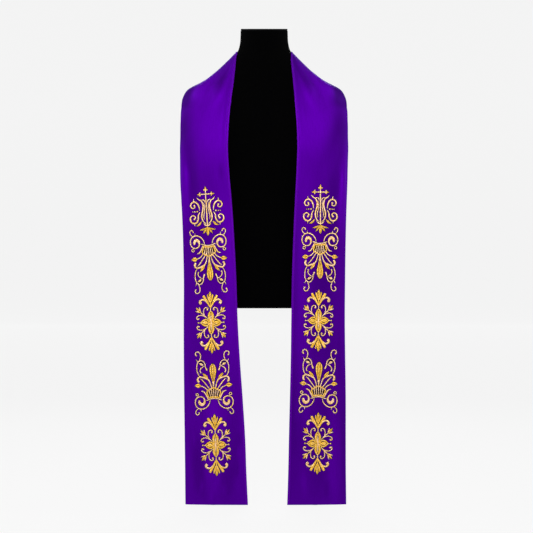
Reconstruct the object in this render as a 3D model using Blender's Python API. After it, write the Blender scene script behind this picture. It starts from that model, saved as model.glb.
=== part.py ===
"""A clerical stole draped over a limbless dress form that stands on two floor feet.

Metres, +Z up, -Y is the front, the origin is on the floor under the middle of the whole part.
The stole is two bands, one for each side, that meet at the centre-back neck seam. Each band runs
round the back of the neck, over the shoulder and down the front to a straight hem.
"""

import math
from collections import namedtuple

import bmesh
import bpy
import numpy as np
from mathutils import Matrix, Vector

# ---------------------------------------------------------------------------------------------
# Driving sizes
# ---------------------------------------------------------------------------------------------

AXIS_Y = -0.0300  # the form's centre plane, moved forward of the middle of the feet
CLOTH_WALL = 0.0020  # face cloth, interlining and lining, pressed flat
CLOTH_GAP = 0.0008  # cloth to form, at the points of both meshes
SEAM_GAP = 0.0003  # between pieces that touch
HEM_HEIGHT = 0.0030  # hem above the floor

FORM_BASE = 0.5330  # underside of the torso
NECK_TOP = 1.2998  # neck height at its sides
NECK_SLOPE = math.radians(6.0)  # the neck plate leans down to the front
NECK_PLATE = 0.0040  # thickness of the plate that closes the neck
NECK_PLATE_INSET = 0.0006

LEG_X = 0.1380
LEG_RADIUS = 0.0110
FLANGE_RADIUS = 0.0280
FLANGE_HEIGHT = 0.0060
FOOT_WIDTH = 0.0400
FOOT_HEIGHT = 0.0100
FOOT_FRONT = -0.1400  # just behind the hems, so that the bands hide the feet
FOOT_BACK = 0.1537
FOOT_BEVEL = 0.0015

FORM_STEP_ANGLE = 9.0  # degrees between the points of a ring round the form
ACROSS_CELLS = 12  # cells across a band

# ---------------------------------------------------------------------------------------------
# Tables
# ---------------------------------------------------------------------------------------------

# A level cut through a shape: two half superellipses, front and back, that share one width.
# middle is the Y of the widest line, measured from the form's centre plane.
Section = namedtuple("Section", "z half_width middle front back fullness")

NECK_AND_SHOULDERS = [
    Section(1.1800, 0.1306, 0.001, 0.0830, 0.0925, 2.00),
    Section(1.2022, 0.1075, 0.001, 0.0765, 0.0850, 2.00),
    Section(1.2242, 0.0854, 0.000, 0.0700, 0.0760, 2.00),
    Section(1.2372, 0.0737, -0.001, 0.0665, 0.0700, 2.00),
    Section(1.2482, 0.0690, -0.003, 0.0650, 0.0665, 2.00),
    Section(1.2703, 0.0655, -0.006, 0.0638, 0.0643, 2.00),
    Section(1.3120, 0.0645, -0.010, 0.0633, 0.0633, 2.00),
]

FORM = [
    Section(0.5330, 0.1730, 0.001, 0.1090, 0.1130, 2.40),
    Section(0.5900, 0.1760, 0.001, 0.1110, 0.1160, 2.40),
    Section(0.6500, 0.1730, 0.001, 0.1110, 0.1120, 2.35),
    Section(0.7200, 0.1630, 0.001, 0.1080, 0.0980, 2.30),
    Section(0.7900, 0.1580, 0.001, 0.1070, 0.0900, 2.30),
    Section(0.8600, 0.1670, 0.001, 0.1130, 0.0970, 2.35),
    Section(0.9200, 0.1780, 0.002, 0.1190, 0.1070, 2.40),
    Section(0.9700, 0.1890, 0.003, 0.1215, 0.1125, 2.35),
    Section(1.0100, 0.2010, 0.004, 0.1200, 0.1130, 2.25),
    Section(1.0500, 0.2100, 0.003, 0.1150, 0.1115, 2.15),
    Section(1.0827, 0.2125, 0.003, 0.1090, 0.1095, 2.05),
    Section(1.1043, 0.2085, 0.002, 0.1045, 0.1070, 2.00),
    Section(1.1253, 0.1975, 0.002, 0.0990, 0.1045, 2.00),
    Section(1.1357, 0.1890, 0.002, 0.0960, 0.1030, 2.00),
    Section(1.1466, 0.1765, 0.002, 0.0930, 0.1010, 2.00),
    Section(1.1577, 0.1600, 0.002, 0.0900, 0.0985, 2.00),
] + NECK_AND_SHOULDERS

# The surface that the cloth hangs on: the form over the neck and chest, clear of it elsewhere.
DRAPE = [
    Section(0.0000, 0.3100, 0.001, 0.1195, 0.1130, 3.00),
    Section(0.3000, 0.2950, 0.001, 0.1205, 0.1130, 2.85),
    Section(0.6000, 0.2750, 0.001, 0.1215, 0.1130, 2.70),
    Section(0.8500, 0.2620, 0.002, 0.1225, 0.1130, 2.60),
    Section(0.9600, 0.2560, 0.003, 0.1235, 0.1130, 2.50),
    Section(1.0000, 0.2560, 0.003, 0.1215, 0.1130, 2.35),
    Section(1.0460, 0.2580, 0.003, 0.1165, 0.1120, 2.15),
    Section(1.0680, 0.2565, 0.003, 0.1125, 0.1105, 2.08),
    Section(1.0827, 0.2480, 0.003, 0.1095, 0.1095, 2.05),
    Section(1.0940, 0.2396, 0.003, 0.1070, 0.1085, 2.00),
    Section(1.1050, 0.2308, 0.002, 0.1045, 0.1070, 2.00),
    Section(1.1160, 0.2220, 0.002, 0.1018, 0.1058, 2.00),
    Section(1.1253, 0.2140, 0.002, 0.0992, 0.1045, 2.00),
    Section(1.1357, 0.2020, 0.002, 0.0960, 0.1030, 2.00),
    Section(1.1466, 0.1812, 0.002, 0.0930, 0.1010, 2.00),
    Section(1.1577, 0.1611, 0.002, 0.0900, 0.0985, 2.00),
] + NECK_AND_SHOULDERS

# Where a band's two edges pass round the neck. Angles are from the centre back, in degrees.
CollarStation = namedtuple("CollarStation", "inner_angle inner_z outer_angle outer_z cells")

COLLAR = [
    CollarStation(0, 1.2360, 0, 1.1150, 4),
    CollarStation(37, 1.2361, 20, 1.1200, 4),
    CollarStation(68, 1.2364, 42, 1.1300, 4),
    CollarStation(93, 1.2364, 64, 1.1385, 4),
    CollarStation(112, 1.2310, 83, 1.1385, 3),
]

# Where they run down the front. The hem is straight, and each band spreads towards it.
FrontStation = namedtuple(
    "FrontStation", "inner_z inner_left inner_right outer_z outer_left outer_right cells"
)

FRONT = [
    FrontStation(1.2140, 0.0760, 0.0724, 1.1275, 0.2110, 0.2110, 3),
    FrontStation(1.1900, 0.0780, 0.0744, 1.1130, 0.2190, 0.2190, 3),
    FrontStation(1.1630, 0.0810, 0.0772, 1.0960, 0.2236, 0.2236, 3),
    FrontStation(1.1320, 0.0848, 0.0801, 1.0760, 0.2252, 0.2252, 3),
    FrontStation(1.0980, 0.0892, 0.0828, 1.0520, 0.2260, 0.2260, 3),
    FrontStation(1.0560, 0.0940, 0.0863, 1.0240, 0.2265, 0.2265, 3),
    FrontStation(1.0050, 0.0972, 0.0893, 0.9900, 0.2266, 0.2266, 3),
    FrontStation(0.9500, 0.0977, 0.0894, 0.9460, 0.2262, 0.2262, 3),
    FrontStation(0.8900, 0.0938, 0.0870, 0.8900, 0.2249, 0.2244, 3),
    FrontStation(0.8260, 0.0881, 0.0837, 0.8260, 0.2224, 0.2222, 5),
    FrontStation(0.7180, 0.0809, 0.0790, 0.7180, 0.2186, 0.2198, 5),
    FrontStation(0.6100, 0.0755, 0.0754, 0.6100, 0.2164, 0.2183, 5),
    FrontStation(0.5020, 0.0720, 0.0739, 0.5020, 0.2167, 0.2174, 5),
    FrontStation(0.3940, 0.0659, 0.0725, 0.3940, 0.2164, 0.2186, 5),
    FrontStation(0.2860, 0.0582, 0.0700, 0.2860, 0.2153, 0.2199, 5),
    FrontStation(0.1780, 0.0515, 0.0674, 0.1780, 0.2139, 0.2199, 4),
    FrontStation(0.0900, 0.0484, 0.0656, 0.0900, 0.2128, 0.2201, 4),
    FrontStation(HEM_HEIGHT, 0.0443, 0.0629, HEM_HEIGHT, 0.2119, 0.2211, 0),
]

# The largest soft folds. along is metres from the centre-back seam, across is metres from the
# inner edge, length and width are half the fold's reach, drift is how far it moves across in its
# whole length, and lift is its height, below zero for a trough.
Fold = namedtuple("Fold", "side along length across width drift lift")

FOLDS = [
    Fold("left", 0.265, 0.085, 0.030, 0.024, 0.050, 0.0032),
    Fold("left", 0.225, 0.070, 0.088, 0.032, 0.020, 0.0022),
    Fold("left", 0.520, 0.150, 0.128, 0.022, 0.004, 0.0042),
    Fold("left", 0.500, 0.150, 0.094, 0.024, 0.000, -0.0026),
    Fold("left", 0.780, 0.260, 0.020, 0.026, 0.010, 0.0030),
    Fold("left", 1.250, 0.160, 0.040, 0.026, 0.030, -0.0040),
    Fold("left", 1.230, 0.190, 0.082, 0.026, 0.012, 0.0042),
    Fold("left", 1.280, 0.120, 0.126, 0.024, -0.010, -0.0034),
    Fold("right", 0.265, 0.085, 0.034, 0.024, 0.044, 0.0032),
    Fold("right", 0.230, 0.070, 0.094, 0.032, 0.016, 0.0022),
    Fold("right", 0.540, 0.170, 0.130, 0.022, 0.002, 0.0036),
    Fold("right", 0.600, 0.200, 0.098, 0.030, 0.000, -0.0028),
    Fold("right", 0.900, 0.300, 0.030, 0.028, 0.000, 0.0026),
    Fold("right", 1.200, 0.240, 0.074, 0.036, -0.012, -0.0034),
    Fold("right", 1.260, 0.180, 0.122, 0.026, 0.008, 0.0030),
]

Finish = namedtuple("Finish", "name colour roughness metallic")

STOLE_CLOTH = Finish("stole_cloth", (0.095, 0.004, 0.400), 0.45, 0.0)
FORM_JERSEY = Finish("form_jersey", (0.006, 0.006, 0.007), 0.85, 0.0)
STAND_STEEL = Finish("stand_steel", (0.015, 0.015, 0.016), 0.40, 0.0)

SIDES = {"left": -1.0, "right": 1.0}


# ---------------------------------------------------------------------------------------------
# Skins: smooth surfaces through tables of sections
# ---------------------------------------------------------------------------------------------


class Skin:
    """A smooth surface through level sections, with no overshoot between its rows."""

    def __init__(self, rows):
        table = np.array(rows, float)
        self.heights = table[:, 0]
        self.values = table[:, 1:]
        self.slopes = self.row_slopes()

    def row_slopes(self):
        """Slope of each column at each row: the harmonic mean of its neighbours' slopes."""
        steps = np.diff(self.heights)[:, None]
        chords = np.diff(self.values, axis=0) / steps
        slopes = np.zeros_like(self.values)
        product = chords[:-1] * chords[1:]
        total = chords[:-1] + chords[1:]
        rising = product > 0
        slopes[1:-1][rising] = 2.0 * product[rising] / total[rising]
        return slopes

    def section(self, z):
        z = min(max(z, self.heights[0]), self.heights[-1])
        row = int(np.clip(np.searchsorted(self.heights, z) - 1, 0, len(self.heights) - 2))
        step = self.heights[row + 1] - self.heights[row]
        t = (z - self.heights[row]) / step
        low, high = self.values[row], self.values[row + 1]
        rise_low, rise_high = self.slopes[row] * step, self.slopes[row + 1] * step
        value = (
            low * (1 + 2 * t) * (1 - t) ** 2
            + rise_low * t * (1 - t) ** 2
            + high * t * t * (3 - 2 * t)
            + rise_high * t * t * (t - 1)
        )
        return Section(z, *value)

    def at_angle(self, angle, z, side=1.0):
        """The point at an angle in degrees from the centre back, on one side."""
        cut = self.section(z)
        sine, cosine = math.sin(math.radians(angle)), math.cos(math.radians(angle))
        power = 2.0 / cut.fullness
        depth = cut.back if cosine > 0 else cut.front
        x = side * cut.half_width * abs(sine) ** power
        y = cut.middle + math.copysign(depth * abs(cosine) ** power, cosine)
        return np.array([x, y, z])

    def on_front(self, x, z):
        """The point of the front at this X and height."""
        cut = self.section(z)
        rest = max(0.0, 1.0 - (abs(x) / cut.half_width) ** cut.fullness)
        return np.array([x, cut.middle - cut.front * rest ** (1.0 / cut.fullness), z])

    def reach(self, point):
        """1 on the surface, less inside it and more outside."""
        x, y, z = point
        cut = self.section(z)
        depth = cut.back if y > cut.middle else cut.front
        wide = (abs(x) / cut.half_width) ** cut.fullness
        deep = (abs(y - cut.middle) / depth) ** cut.fullness
        return (wide + deep) ** (1.0 / cut.fullness)

    def level_with(self, point):
        """The point of the surface level with this one, in the same direction from its middle."""
        x, y, z = point
        middle = self.section(z).middle
        scale = 1.0 / self.reach(point)
        return np.array([x * scale, middle + (y - middle) * scale, z])

    def normal(self, point, step=0.0004):
        slope = np.array(
            [
                self.reach(point + step * axis) - self.reach(point - step * axis)
                for axis in np.eye(3)
            ]
        )
        return slope / np.linalg.norm(slope)


FORM_SKIN = Skin(FORM)
DRAPE_SKIN = Skin(DRAPE)


# ---------------------------------------------------------------------------------------------
# The bands of cloth
# ---------------------------------------------------------------------------------------------


def edge_points(side):
    """The inner and outer edge points of each station, and the cells after each."""
    sign = SIDES[side]
    inner, outer, cells = [], [], []
    for row in COLLAR:
        inner.append(DRAPE_SKIN.at_angle(row.inner_angle, row.inner_z, sign))
        outer.append(DRAPE_SKIN.at_angle(row.outer_angle, row.outer_z, sign))
        cells.append(row.cells)
    for row in FRONT:
        inner_x = row.inner_left if side == "left" else row.inner_right
        outer_x = row.outer_left if side == "left" else row.outer_right
        inner.append(DRAPE_SKIN.on_front(sign * inner_x, row.inner_z))
        outer.append(DRAPE_SKIN.on_front(sign * outer_x, row.outer_z))
        cells.append(row.cells)
    return np.array(inner), np.array(outer), cells


def smooth_path(points, cells):
    """Points along a curve through these, with so many cells after each of them."""
    lengths = np.linalg.norm(np.diff(points, axis=0), axis=1)
    tangents = np.zeros_like(points)
    chords = np.diff(points, axis=0) / lengths[:, None]
    weights = lengths[:, None]
    tangents[1:-1] = (chords[:-1] * weights[1:] + chords[1:] * weights[:-1]) / (
        weights[:-1] + weights[1:]
    )
    tangents[0] = chords[0]
    tangents[-1] = chords[-1]
    path = []
    for row, count in enumerate(cells[:-1]):
        for cell in range(count):
            t = cell / count
            span = lengths[row]
            path.append(
                points[row] * (1 + 2 * t) * (1 - t) ** 2
                + tangents[row] * span * t * (1 - t) ** 2
                + points[row + 1] * t * t * (3 - 2 * t)
                + tangents[row + 1] * span * t * t * (t - 1)
            )
    path.append(points[-1])
    return np.array(path)


def soft_bump(t):
    """1 at 0, falling smoothly to 0 at -1 and 1."""
    return math.cos(0.5 * math.pi * t) ** 2 if abs(t) < 1.0 else 0.0


def fold_lift(side, along, across):
    """How far the folds raise the cloth at this place on a band."""
    lift = 0.0
    for fold in FOLDS:
        if fold.side != side:
            continue
        run = (along - fold.along) / fold.length
        drifted = fold.across + 0.5 * fold.drift * run
        lift += fold.lift * soft_bump(run) * soft_bump((across - drifted) / fold.width)
    return lift


def band_grid(side):
    """The under face of a band as rows of points, with the outward normal of each."""
    inner_stations, outer_stations, cells = edge_points(side)
    inner = smooth_path(inner_stations, cells)
    outer = smooth_path(outer_stations, cells)
    middle = 0.5 * (inner + outer)
    steps = np.linalg.norm(np.diff(middle, axis=0), axis=1)
    along = np.concatenate([[0.0], np.cumsum(steps)])
    points, normals = [], []
    for start, end, distance in zip(inner, outer, along):
        width = np.linalg.norm(end - start)
        for cell in range(ACROSS_CELLS + 1):
            share = cell / ACROSS_CELLS
            base = DRAPE_SKIN.level_with(start + (end - start) * share)
            normal = DRAPE_SKIN.normal(base)
            lift = CLOTH_GAP + fold_lift(side, distance, share * width)
            points.append(base + normal * lift)
            normals.append(normal)
    shape = (len(along), ACROSS_CELLS + 1, 3)
    return np.array(points).reshape(shape), np.array(normals).reshape(shape)


def clear_of_centre(points, side):
    """Keeps a band half a seam's gap from the centre-back plane."""
    sign = SIDES[side]
    moved = points.copy()
    moved[..., 0] = sign * np.maximum(sign * moved[..., 0], 0.5 * SEAM_GAP)
    return moved


def add_band(side, material):
    """One closed wall of cloth: an under face, an outer face and the rim that joins them."""
    under, normals = band_grid(side)
    faces_of_wall = [
        clear_of_centre(under, side),
        clear_of_centre(under + normals * CLOTH_WALL, side),
    ]
    rows, columns = under.shape[:2]
    mesh_maker = bmesh.new()
    walls = [
        [[mesh_maker.verts.new(point) for point in row] for row in wall]
        for wall in faces_of_wall
    ]
    for wall in walls:
        for row in range(rows - 1):
            for column in range(columns - 1):
                mesh_maker.faces.new(
                    (
                        wall[row][column],
                        wall[row][column + 1],
                        wall[row + 1][column + 1],
                        wall[row + 1][column],
                    )
                )
    rim = [(0, column) for column in range(columns)]
    rim += [(row, columns - 1) for row in range(1, rows)]
    rim += [(rows - 1, column) for column in range(columns - 2, -1, -1)]
    rim += [(row, 0) for row in range(rows - 2, 0, -1)]
    for here, there in zip(rim, rim[1:] + rim[:1]):
        mesh_maker.faces.new(
            (
                walls[0][here[0]][here[1]],
                walls[0][there[0]][there[1]],
                walls[1][there[0]][there[1]],
                walls[1][here[0]][here[1]],
            )
        )
    bmesh.ops.recalc_face_normals(mesh_maker, faces=mesh_maker.faces)
    return add_mesh(f"stole_{side}", mesh_maker, material, (0.0, AXIS_Y, 0.0))


# ---------------------------------------------------------------------------------------------
# The dress form and its stand
# ---------------------------------------------------------------------------------------------


def neck_lean(point):
    """Height to add so that the top of the neck slopes down to the front."""
    blend = min(max((point[2] - 1.2703) / (NECK_TOP - 1.2703), 0.0), 1.0)
    return blend * math.tan(NECK_SLOPE) * (point[1] - FORM_SKIN.section(point[2]).middle)


def form_ring(mesh_maker, z, inset=0.0):
    """A ring of points round the form at this height, drawn in by inset."""
    ring = []
    for step in range(round(360.0 / FORM_STEP_ANGLE)):
        angle = step * FORM_STEP_ANGLE
        side = 1.0 if angle <= 180.0 else -1.0
        point = FORM_SKIN.at_angle(min(angle, 360.0 - angle), z, side)
        outward = FORM_SKIN.normal(point)
        point = point - inset * outward / math.hypot(outward[0], outward[1])
        ring.append(mesh_maker.verts.new((point[0], point[1], z + neck_lean(point))))
    return ring


def ring_stack(name, heights, insets, material):
    """A closed body through rings of the form, with a flat cap at each end."""
    mesh_maker = bmesh.new()
    rings = [form_ring(mesh_maker, z, inset) for z, inset in zip(heights, insets)]
    for low, high in zip(rings, rings[1:]):
        for step, here in enumerate(low):
            there = (step + 1) % len(low)
            mesh_maker.faces.new((here, low[there], high[there], high[step]))
    mesh_maker.faces.new(rings[0])
    mesh_maker.faces.new(rings[-1])
    bmesh.ops.recalc_face_normals(mesh_maker, faces=mesh_maker.faces)
    return add_mesh(name, mesh_maker, material, (0.0, AXIS_Y, 0.0))


def form_heights():
    """Levels of the form's rings: wide apart on the trunk and close where the shoulders turn."""
    top = NECK_TOP - NECK_PLATE - SEAM_GAP
    trunk = list(np.linspace(FORM_BASE, 1.0100, 13))
    armpit = list(np.linspace(1.0100, 1.1043, 6))[1:]
    shoulder = list(np.linspace(1.1043, 1.1577, 9))[1:]
    slope = list(np.linspace(1.1577, 1.2372, 8))[1:]
    neck = [1.2427, 1.2482, 1.2560, 1.2703, top]
    return trunk + armpit + shoulder + slope + neck


def add_torso(material):
    heights = form_heights()
    return ring_stack("torso", heights, [0.0] * len(heights), material)


def add_neck_plate(material):
    heights = [NECK_TOP - NECK_PLATE, NECK_TOP - 0.0010, NECK_TOP]
    insets = [NECK_PLATE_INSET, NECK_PLATE_INSET, NECK_PLATE_INSET + 0.0010]
    return ring_stack("neck_plate", heights, insets, material)


def add_post(name, radius, low, high, sign, material):
    """An upright cylinder under one half of the torso."""
    bpy.ops.mesh.primitive_cylinder_add(
        vertices=24,
        radius=radius,
        depth=high - low,
        location=(sign * LEG_X, AXIS_Y, 0.5 * (low + high)),
    )
    return finish_object(bpy.context.object, name, material)


def add_foot(name, sign, material):
    """A flat bar along the floor, with its corners rounded and its edges eased."""
    length = FOOT_BACK - FOOT_FRONT
    bpy.ops.mesh.primitive_cube_add(
        size=1.0,
        location=(sign * LEG_X, 0.5 * (FOOT_BACK + FOOT_FRONT), 0.5 * FOOT_HEIGHT),
    )
    bar = bpy.context.object
    bar.data.transform(Matrix.Diagonal((FOOT_WIDTH, length, FOOT_HEIGHT, 1.0)))
    corners = bmesh.new()
    corners.from_mesh(bar.data)
    uprights = [
        edge
        for edge in corners.edges
        if abs((edge.verts[0].co - edge.verts[1].co).z) > 0.5 * FOOT_HEIGHT
    ]
    bmesh.ops.bevel(
        corners, geom=uprights, offset=0.45 * FOOT_WIDTH, segments=6, affect="EDGES", profile=0.5
    )
    corners.to_mesh(bar.data)
    corners.free()
    ease = bar.modifiers.new("eased edges", "BEVEL")
    ease.width = FOOT_BEVEL
    ease.segments = 1
    ease.limit_method = "ANGLE"
    return finish_object(bar, name, material)


def add_stand(side, material):
    """A foot, the leg that stands on it and the flange that carries the torso."""
    sign = SIDES[side]
    flange_top = FORM_BASE - SEAM_GAP
    flange_low = flange_top - FLANGE_HEIGHT
    add_foot(f"foot_{side}", sign, material)
    leg_low, leg_high = FOOT_HEIGHT + SEAM_GAP, flange_low - SEAM_GAP
    add_post(f"leg_{side}", LEG_RADIUS, leg_low, leg_high, sign, material)
    add_post(f"flange_{side}", FLANGE_RADIUS, flange_low, flange_top, sign, material)


# ---------------------------------------------------------------------------------------------
# Objects and materials
# ---------------------------------------------------------------------------------------------


def clear_scene():
    for thing in list(bpy.data.objects):
        bpy.data.objects.remove(thing, do_unlink=True)


def add_material(finish):
    material = bpy.data.materials.new(finish.name)
    material.use_nodes = True
    shader = material.node_tree.nodes["Principled BSDF"]
    shader.inputs["Base Color"].default_value = (*finish.colour, 1.0)
    shader.inputs["Roughness"].default_value = finish.roughness
    shader.inputs["Metallic"].default_value = finish.metallic
    material.diffuse_color = (*finish.colour, 1.0)
    return material


def finish_object(thing, name, material):
    thing.name = name
    thing.data.name = name
    thing.data.materials.clear()
    thing.data.materials.append(material)
    thing.data.shade_smooth()
    thing.data.set_sharp_from_angle(angle=math.radians(35.0))
    return thing


def add_mesh(name, mesh_maker, material, place):
    mesh = bpy.data.meshes.new(name)
    mesh_maker.to_mesh(mesh)
    mesh_maker.free()
    thing = bpy.data.objects.new(name, mesh)
    thing.location = Vector(place)
    bpy.context.scene.collection.objects.link(thing)
    return finish_object(thing, name, material)


def main():
    clear_scene()
    cloth = add_material(STOLE_CLOTH)
    jersey = add_material(FORM_JERSEY)
    steel = add_material(STAND_STEEL)
    add_torso(jersey)
    add_neck_plate(steel)
    for side in SIDES:
        add_band(side, cloth)
        add_stand(side, steel)


if __name__ == "__main__":
    main()
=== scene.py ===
"""A clerical stole on a limbless dress form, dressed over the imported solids.

Metres, +Z up, -Y is the front. Every piece is made where the solids say, and each operator of
the sidebar panel makes one group of pieces. The bands repeat the tables of the part's source.
"""

import math
from collections import namedtuple
import bmesh
import bpy
import numpy as np
from bpy.props import FloatProperty, FloatVectorProperty, PointerProperty
from mathutils import Matrix, Vector
from mathutils.bvhtree import BVHTree


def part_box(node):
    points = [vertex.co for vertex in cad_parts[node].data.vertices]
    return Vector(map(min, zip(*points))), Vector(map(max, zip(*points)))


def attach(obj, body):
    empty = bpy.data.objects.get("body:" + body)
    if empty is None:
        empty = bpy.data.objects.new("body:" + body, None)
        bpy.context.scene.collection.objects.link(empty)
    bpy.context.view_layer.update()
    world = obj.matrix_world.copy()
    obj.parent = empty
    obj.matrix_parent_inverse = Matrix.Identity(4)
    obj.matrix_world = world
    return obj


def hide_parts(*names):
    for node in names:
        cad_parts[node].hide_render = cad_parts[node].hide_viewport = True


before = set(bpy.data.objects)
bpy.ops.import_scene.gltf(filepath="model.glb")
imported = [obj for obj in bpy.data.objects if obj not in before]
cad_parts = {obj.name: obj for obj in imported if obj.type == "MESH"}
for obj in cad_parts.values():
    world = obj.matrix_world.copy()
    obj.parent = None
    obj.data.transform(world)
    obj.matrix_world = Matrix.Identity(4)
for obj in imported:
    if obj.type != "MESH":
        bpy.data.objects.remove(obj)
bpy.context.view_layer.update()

bl_info = {
    "name": "Clerical Stole on a Dress Form",
    "version": (1, 0, 0),
    "blender": (4, 5, 0),
    "location": "3D View > Sidebar > Stole",
    "description": "Makes an embroidered stole, the form that wears it and its stand",
    "category": "Add Mesh",
}

# ---------------------------------------------------------------------------------------------
# Sizes shared with the part's source
# ---------------------------------------------------------------------------------------------

AXIS_Y = -0.0300
FORM_BASE = 0.5330
NECK_TOP = 1.2998
NECK_SLOPE = math.radians(6.0)
NECK_PLATE = 0.0040
SEAM_GAP = 0.0003
HEM_HEIGHT = 0.0030
LEG_X = 0.1380
SIDES = {"left": -1.0, "right": 1.0}

# Level sections of a smooth surface: height, half width, middle, reach to the front, reach to
# the back, and fullness, which is 2 for an ellipse and more for a squarer outline.
NECK_AND_SHOULDERS = [
    (1.1800, 0.1306, 0.001, 0.0830, 0.0925, 2.00),
    (1.2022, 0.1075, 0.001, 0.0765, 0.0850, 2.00),
    (1.2242, 0.0854, 0.000, 0.0700, 0.0760, 2.00),
    (1.2372, 0.0737, -0.001, 0.0665, 0.0700, 2.00),
    (1.2482, 0.0690, -0.003, 0.0650, 0.0665, 2.00),
    (1.2703, 0.0655, -0.006, 0.0638, 0.0643, 2.00),
    (1.3120, 0.0645, -0.010, 0.0633, 0.0633, 2.00),
]

FORM = [
    (0.5330, 0.1730, 0.001, 0.1090, 0.1130, 2.40),
    (0.5900, 0.1760, 0.001, 0.1110, 0.1160, 2.40),
    (0.6500, 0.1730, 0.001, 0.1110, 0.1120, 2.35),
    (0.7200, 0.1630, 0.001, 0.1080, 0.0980, 2.30),
    (0.7900, 0.1580, 0.001, 0.1070, 0.0900, 2.30),
    (0.8600, 0.1670, 0.001, 0.1130, 0.0970, 2.35),
    (0.9200, 0.1780, 0.002, 0.1190, 0.1070, 2.40),
    (0.9700, 0.1890, 0.003, 0.1215, 0.1125, 2.35),
    (1.0100, 0.2010, 0.004, 0.1200, 0.1130, 2.25),
    (1.0500, 0.2100, 0.003, 0.1150, 0.1115, 2.15),
    (1.0827, 0.2125, 0.003, 0.1090, 0.1095, 2.05),
    (1.1043, 0.2085, 0.002, 0.1045, 0.1070, 2.00),
    (1.1253, 0.1975, 0.002, 0.0990, 0.1045, 2.00),
    (1.1357, 0.1890, 0.002, 0.0960, 0.1030, 2.00),
    (1.1466, 0.1765, 0.002, 0.0930, 0.1010, 2.00),
    (1.1577, 0.1600, 0.002, 0.0900, 0.0985, 2.00),
] + NECK_AND_SHOULDERS

# The surface that the cloth hangs on: the form over the neck and chest, clear of it elsewhere.
DRAPE = [
    (0.0000, 0.3100, 0.001, 0.1195, 0.1130, 3.00),
    (0.3000, 0.2950, 0.001, 0.1205, 0.1130, 2.85),
    (0.6000, 0.2750, 0.001, 0.1215, 0.1130, 2.70),
    (0.8500, 0.2620, 0.002, 0.1225, 0.1130, 2.60),
    (0.9600, 0.2560, 0.003, 0.1235, 0.1130, 2.50),
    (1.0000, 0.2560, 0.003, 0.1215, 0.1130, 2.35),
    (1.0460, 0.2580, 0.003, 0.1165, 0.1120, 2.15),
    (1.0680, 0.2565, 0.003, 0.1125, 0.1105, 2.08),
    (1.0827, 0.2480, 0.003, 0.1095, 0.1095, 2.05),
    (1.0940, 0.2396, 0.003, 0.1070, 0.1085, 2.00),
    (1.1050, 0.2308, 0.002, 0.1045, 0.1070, 2.00),
    (1.1160, 0.2220, 0.002, 0.1018, 0.1058, 2.00),
    (1.1253, 0.2140, 0.002, 0.0992, 0.1045, 2.00),
    (1.1357, 0.2020, 0.002, 0.0960, 0.1030, 2.00),
    (1.1466, 0.1812, 0.002, 0.0930, 0.1010, 2.00),
    (1.1577, 0.1611, 0.002, 0.0900, 0.0985, 2.00),
] + NECK_AND_SHOULDERS

# Where a band's two edges pass round the neck. Angles are from the centre back, in degrees.
CollarStation = namedtuple("CollarStation", "inner_angle inner_z outer_angle outer_z cells")

COLLAR = [CollarStation(*row) for row in (
    (0, 1.2360, 0, 1.1150, 4),
    (37, 1.2361, 20, 1.1200, 4),
    (68, 1.2364, 42, 1.1300, 4),
    (93, 1.2364, 64, 1.1385, 4),
    (112, 1.2310, 83, 1.1385, 3),
)]

# Where they run down the front. The hem is straight, and each band spreads towards it.
FrontStation = namedtuple(
    "FrontStation", "inner_z inner_left inner_right outer_z outer_left outer_right cells"
)

FRONT = [FrontStation(*row) for row in (
    (1.2140, 0.0760, 0.0724, 1.1275, 0.2110, 0.2110, 3),
    (1.1900, 0.0780, 0.0744, 1.1130, 0.2190, 0.2190, 3),
    (1.1630, 0.0810, 0.0772, 1.0960, 0.2236, 0.2236, 3),
    (1.1320, 0.0848, 0.0801, 1.0760, 0.2252, 0.2252, 3),
    (1.0980, 0.0892, 0.0828, 1.0520, 0.2260, 0.2260, 3),
    (1.0560, 0.0940, 0.0863, 1.0240, 0.2265, 0.2265, 3),
    (1.0050, 0.0972, 0.0893, 0.9900, 0.2266, 0.2266, 3),
    (0.9500, 0.0977, 0.0894, 0.9460, 0.2262, 0.2262, 3),
    (0.8900, 0.0938, 0.0870, 0.8900, 0.2249, 0.2244, 3),
    (0.8260, 0.0881, 0.0837, 0.8260, 0.2224, 0.2222, 5),
    (0.7180, 0.0809, 0.0790, 0.7180, 0.2186, 0.2198, 5),
    (0.6100, 0.0755, 0.0754, 0.6100, 0.2164, 0.2183, 5),
    (0.5020, 0.0720, 0.0739, 0.5020, 0.2167, 0.2174, 5),
    (0.3940, 0.0659, 0.0725, 0.3940, 0.2164, 0.2186, 5),
    (0.2860, 0.0582, 0.0700, 0.2860, 0.2153, 0.2199, 5),
    (0.1780, 0.0515, 0.0674, 0.1780, 0.2139, 0.2199, 4),
    (0.0900, 0.0484, 0.0656, 0.0900, 0.2128, 0.2201, 4),
    (HEM_HEIGHT, 0.0443, 0.0629, HEM_HEIGHT, 0.2119, 0.2211, 0),
)]

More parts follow.
